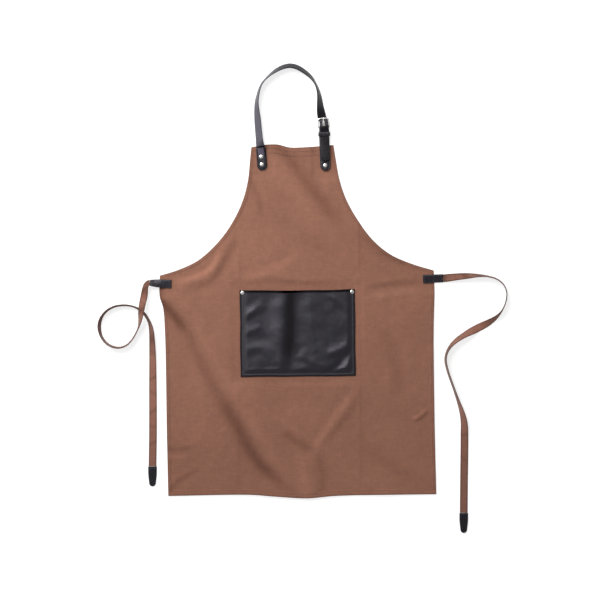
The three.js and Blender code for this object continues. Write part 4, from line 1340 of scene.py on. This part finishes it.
def buckle_prong(nickel):
    """An eye round the bar and an arm that thins towards its tip."""
    eye = 1.97 * MM  # radius of its middle line
    arm = 0.85 * MM  # from its middle line to its underside, with a little room
    rest = OUTER_BAR_HEIGHT - BAR_HEIGHT + WIRE + GAP + arm
    turn = np.linspace(-math.pi * 1.28, math.pi * 0.46, 40)
    eye_y, eye_z = eye * np.cos(turn), eye * np.sin(turn)
    t = np.linspace(0, 1, 40)[1:]
    arm_y = eye_y[-1] + (FRAME_REACH + 2 * MM - eye_y[-1]) * t
    arm_z = eye_z[-1] + (rest - eye_z[-1]) * t
    y, z = np.concatenate([eye_y, arm_y]), np.concatenate([eye_z, arm_z])
    y, z = soften(y, 1.2), soften(z, 1.2)
    centre, across, normal = buckle_line(y, z)
    share = np.linspace(0, 1, len(y))
    wide = 1.3 * MM - 0.35 * MM * smoothstep(share, 0.5, 1)
    deep = 0.5 * MM + 0.3 * MM * smoothstep(share, 0.45, 0.7)
    tip = np.sqrt(np.clip((1.0001 - share) / 0.03, 0.02, 1))
    angles = np.linspace(0, 2 * math.pi, 16, endpoint=False)
    sideways = (wide * tip)[:, None, None] * np.cos(angles)[:, None] * across[:, None]
    upwards = (deep * tip)[:, None, None] * np.sin(angles)[:, None] * normal[:, None]
    vertices = centre[:, None] + sideways + upwards
    rows, columns = vertices.shape[:2]
    faces = grid_faces(rows, columns, wrap_columns=True)
    faces += [tuple(range(columns)), tuple(range((rows - 1) * columns, rows * columns))]
    make_piece(
        "buckle_prong_nickel", vertices.reshape(-1, 3), faces, nickel, "prong", ["buckle_prong"],
        METAL_SHARP,
    )


def rivet_places():
    right = POCKET_WIDTH / 2 - POCKET_RIVET_INSET
    high = POCKET_HEIGHT / 2 - POCKET_RIVET_INSET
    corners = to_world(np.array([[-right, high], [right, high]]), POCKET_AT, POCKET_TURN)
    strap = STRAP_END_BASE + STRAP_THICKNESS + GAP
    chape_top = CHAPE_TOP + GAP
    on_pocket = ON_CANVAS + POCKET_LEATHER + GAP
    return [
        ("neck_left_upper", np.array(LEFT_RIVETS[0]) * MM, strap),
        ("neck_left_lower", np.array(LEFT_RIVETS[1]) * MM, strap),
        ("neck_right_upper", from_buckle(0, CHAPE_RIVETS[0]), chape_top),
        ("neck_right_lower", from_buckle(0, CHAPE_RIVETS[1]), chape_top),
        ("pocket_left", corners[0], on_pocket),
        ("pocket_right", corners[1], on_pocket),
    ]


def turned(name, profile, x, y, material, replaces, segments=48):
    """A round piece from a profile of (radius, height) that starts and ends on its axis."""
    vertices = [(x, y, profile[0][1])]
    for radius, z in profile[1:-1]:
        for k in range(segments):
            angle = 2 * math.pi * k / segments
            vertices.append((x + radius * math.cos(angle), y + radius * math.sin(angle), z))
    vertices.append((x, y, profile[-1][1]))
    rings = len(profile) - 2
    faces = [(0, 1 + (k + 1) % segments, 1 + k) for k in range(segments)]
    faces += grid_faces(rings, segments, wrap_columns=True, offset=1)
    last = 1 + (rings - 1) * segments
    end = len(vertices) - 1
    faces += [(last + k, last + (k + 1) % segments, end) for k in range(segments)]
    make_piece(name, vertices, faces, material, replaces=[replaces], sharp=50)


def rivets(nickel):
    """Each rivet's cap with its post, and its back cap."""
    post_foot = 1.0 * MM
    rim = 0.5 * MM
    for name, (x, y), base in rivet_places():
        profile = [
            (0, post_foot), (POST_RADIUS, post_foot), (POST_RADIUS, base), (CAP_RADIUS * 0.93, base),
            (CAP_RADIUS, base + 0.18 * MM), (CAP_RADIUS * 0.995, base + 0.42 * MM),
        ]
        for i in range(1, 9):
            angle = i / 9 * math.pi / 2
            dome = rim + (CAP_HEIGHT - rim) * math.sin(angle) ** 0.85
            profile.append((CAP_RADIUS * 0.97 * math.cos(angle), base + dome))
        profile.append((0, base + CAP_HEIGHT))
        turned(f"rivet_cap_{name}", profile, x, y, nickel, f"rivet_{name}")
        back = [(radius * MM, z * MM) for radius, z in BACK_CAP]
        turned(f"rivet_back_cap_{name}", back, x, y, nickel, f"rivet_back_{name}")


# ---- Side tabs, ties and tips ----
RIGHT_TAB = [(302.5, 2.6, 0, 1.9), (326, 3.6, 0, 1.9), (350.84, 4.6, 0, 1.9)]
LEFT_TAB = [(-300.8, -8.6, 0, 1.9), (-318, -8.3, 0, 1.9), (-332, -7.8, -14, 1.9), (-352.12, -6.3, -46, 0.9)]
RIGHT_TIE = [
    (350.9, 4.6, 0, 2.5), (356, 4.9, 0, 2.5), (376, 7.2, 22, 1.2), (403.7, 9.8, 38, 0.3),
    (433.7, 11, 66, 0.3), (456.2, 9.4, 79, 0.3), (478.8, 2.8, 82, 0.3), (493.7, -8.6, 83, 0.3),
    (501.8, -23.8, 83, 0.3), (503, -38.5, 83, 0.3), (499.7, -55.4, 83, 0.3), (491.5, -73, 78, 0.3),
    (479, -87.8, 62, 0.3), (462.2, -100, 36, 0.3), (433.7, -115.2, 0, 0.3), (403.7, -130.6, -46, 0.3),
    (381.1, -145.5, -59, 0.3), (367.7, -159.2, -71, 0.3), (359.2, -174.5, -79, 0.3),
    (356.4, -192, -83, 0.3), (361.7, -218, -82, 0.3), (375.4, -257.3, -79, 0.3), (387, -290, -72, 0.3),
    (396.5, -318.7, -53, 0.3), (401.2, -342, -33, 0.3), (402.2, -372, -9, 0.3), (401.3, -479.5, 0, 0.5),
    (400.6, -558.2, 0, 1.1),
]
LEFT_TIE = [
    (-352.2, -6.3, -46, 2), (-355.8, -6.8, -46, 2.1), (-360.4, -11.4, -46, 3.4), (-363, -20, -37, 5.8),
    (-364.2, -30, -24, 8.5), (-365.6, -41, -18, 12.6), (-368.2, -55, -26, 17.5), (-371, -72, -34, 20),
    (-373.4, -87, -46, 14.5), (-375.8, -100.5, -63, 7), (-379.6, -114, -78, 1.6),
    (-386.2, -128.5, -83, 0.3), (-395.5, -143.5, -84, 0.3), (-408.2, -156, -84, 0.3),
    (-426, -161.8, -84, 0.3), (-444, -158.2, -84, 0.3), (-458.6, -148, -83, 0.3),
    (-468.8, -132.6, -77, 0.3), (-472.9, -114.4, -69, 0.3), (-471.6, -99.6, -71, 0.3),
    (-465, -84.7, -77, 0.3), (-452.2, -71.4, -82, 0.3), (-437, -63.6, -82, 0.3),
    (-419.5, -60.4, -82, 0.3), (-400.8, -61.2, -82, 0.3), (-385.4, -65.8, -78, 0.3),
    (-373.2, -73, -66, 0.3), (-363.7, -82.6, -66, 0.3), (-356.4, -94, -69, 0.3), (-350.8, -107.5, -58, 0.3),
    (-348.2, -122, -48, 0.3), (-346.8, -143, -40, 0.3), (-345.6, -182, -26, 0.3),
    (-345.1, -263.5, -8, 0.3), (-345.1, -371.5, 0, 0.5), (-346.1, -446.4, 0, 1.1),
]
STEEPEST = 78.5  # degrees, how far a tape on its edge leans over
# Pinches of the tapes, with painted shade, or painted light where the darkness is below zero: distance along,
# how far the crease leans, how dark it is, and its reach.
RIGHT_PINCH_SHADES = [
    (2, 0, 0.4, 5), (30, 0.2, 0.12, 4), (54, 0.5, 0.4, 11), (82, 0.4, 0.35, 12), (276, 0.3, -0.5, 28),
    (336, 0.7, 0.12, 4), (590, 0.4, 0.14, 4), (650, -0.6, 0.12, 4),
]
LEFT_PINCH_SHADES = [
    (4, 0, 0.5, 8), (19, 0.2, 0.5, 8), (30, -0.2, 0.35, 7), (41, -0.4, 0.2, 4), (54, -0.7, 0.2, 4),
    (71, 0.4, 0.5, 9), (468, 0.2, 0.5, 16), (500, -0.3, 0.2, 8), (620, 0, -0.2, 110),
    (562, 0.5, 0.3, 4), (598, -0.6, 0.24, 3), (642, 0.7, 0.3, 4), (678, -0.3, 0.24, 3),
    (718, 0.5, 0.24, 4),
]
SELVEDGE = 2.4 * MM
DARKEST_TAPE = 0.34


def tape_ripple(s, x):
    """Small waves of a tape's faces, at places along it and across it."""
    return 0.1 * MM * np.sin(s * 260) * np.cos(x * 140) + 0.06 * MM * np.sin(s * 610 + 1)


def waist_tie(side, route, tape, pinches):
    """A tape. It is darker at its selvedges, with painted shade where it stands on its edge and in its
    pinches, and painted light in a few pinches.
    """
    piece, s, centre, _, normal = strap_piece(
        f"{side}_tie_tape", rows_to_metres(route), TAPE_WIDTH, TAPE_THICKNESS, tape, "tape",
        [f"{side}_waist_tie"], spacing=1.5 * MM, steepest=STEEPEST, ripple=tape_ripple,
    )
    offset, place = woven(piece)
    tone = 1 - 0.55 * smoothstep(np.abs(offset), TAPE_WIDTH / 2 - SELVEDGE, TAPE_WIDTH / 2)
    level = np.interp(place, s, np.abs(normal[:, 2]))
    # Painted shade where the tape stands on its edge and faces away from the light.
    tone -= 0.42 * (1 - smoothstep(level, 0.26, 0.55))
    for at, lean, depth, reach in pinches:
        tone -= depth * np.exp(-((place - at * MM - lean * offset) / (reach * MM)) ** 2)
    add_tone(piece, np.maximum(tone, DARKEST_TAPE))


def tie_tip(side, route, leather, stitches):
    """The leather tip past the end of a tape, flat on the floor, with one row of stitches."""
    x, y = route[-1][0] * MM, (route[-1][1] - 0.3) * MM
    s = dense_ends(np.linspace(0, TIP_LENGTH, 60), 0, TIP_ROUNDING)
    centre = np.column_stack([np.full(len(s), x), y - s, np.full(len(s), GAP + TIP_THICKNESS / 2)])
    across = np.tile([-1.0, 0, 0], (len(s), 1))
    waist = TIP_WIDTH - TIP_NARROWS * smoothstep(s, 0.3 * TIP_LENGTH, TIP_LENGTH)
    piece = ribbon_piece(
        f"{side}_tip_leather", (s, centre, across, upward(s)), TIP_WIDTH, TIP_THICKNESS, leather,
        "strap_leather", [f"{side}_tie_tip"], crease=0.3 * MM, crown=0.05, waist=waist,
        ends=(0, TIP_ROUNDING),
    )
    half = 7.2 * MM
    points = np.array([(x + reach, y - 4 * MM, GAP + TIP_THICKNESS) for reach in (-half, half)])
    stitches.run(points, upward(points), 2.4 * MM, 0.5 * MM)
    return piece


def side_tab(side, route, leather, stitches):
    """A leather tab with a row of stitches along each edge and three across."""
    _, s, centre, across, normal = strap_piece(
        f"{side}_tab_leather", rows_to_metres(route), TAB_WIDTH, TAB_THICKNESS, leather, "strap_leather",
        [f"{side}_side_tab"], spacing=0.8 * MM, crease=0.22 * MM,
    )
    top = centre + normal * (TAB_THICKNESS / 2 - 0.1 * MM)
    inner, outer = 3 * MM, s[-1] - 4 * MM
    body = (s > inner) & (s < outer)
    reach = TAB_WIDTH / 2 - CREASE_AT
    pitch = 2.7 * MM
    for edge in (-reach, reach):
        stitches.run(top[body] + across[body] * edge, normal[body], pitch)
    for place in (inner, s[-1] * 0.52, outer):
        i = int(np.argmin(np.abs(s - place)))
        ends = np.array([top[i] - across[i] * reach, top[i] + across[i] * reach])
        stitches.run(ends, np.tile(normal[i], (2, 1)), pitch)


# ---- Assembly ----
def build():
    camera_and_light()
    canvas = canvas_material()
    tape = tape_material()
    strap_leather = leather_material("strap_leather", **STRAP_LOOK)
    painted_light_leather = leather_material("painted_light_leather", **STRAP_LOOK, with_painted_light=True)
    pocket_leather = leather_material("pocket_leather", **POCKET_LOOK, with_painted_light=True)
    nickel = nickel_material()

    dark = Stitches()
    for side, route, pinches in (("right", RIGHT_TIE, RIGHT_PINCH_SHADES), ("left", LEFT_TIE, LEFT_PINCH_SHADES)):
        tip = tie_tip(side, route, strap_leather, dark)
        waist_tie(side, route, tape, pinches)
    side_tab("right", RIGHT_TAB, strap_leather, dark)
    side_tab("left", LEFT_TAB, strap_leather, dark)

    panel, surface = canvas_piece(canvas)
    hems = hem_stitches(surface_lookup(*surface))
    hem_thread = hems.piece("hem_stitches", thread_material("canvas_thread", BROWN_THREAD), "canvas")
    pocket, grid = pocket_piece(pocket_leather)
    pocket_stitches(dark, grid)
    dark.piece("leather_stitches", thread_material("black_thread", BLACK_THREAD), "strap_leather")

    left_backing(strap_leather)
    neck_strap(painted_light_leather)
    chape(strap_leather)
    keeper(strap_leather)
    buckle_frame(nickel)
    buckle_prong(nickel)
    rivets(nickel)


build()
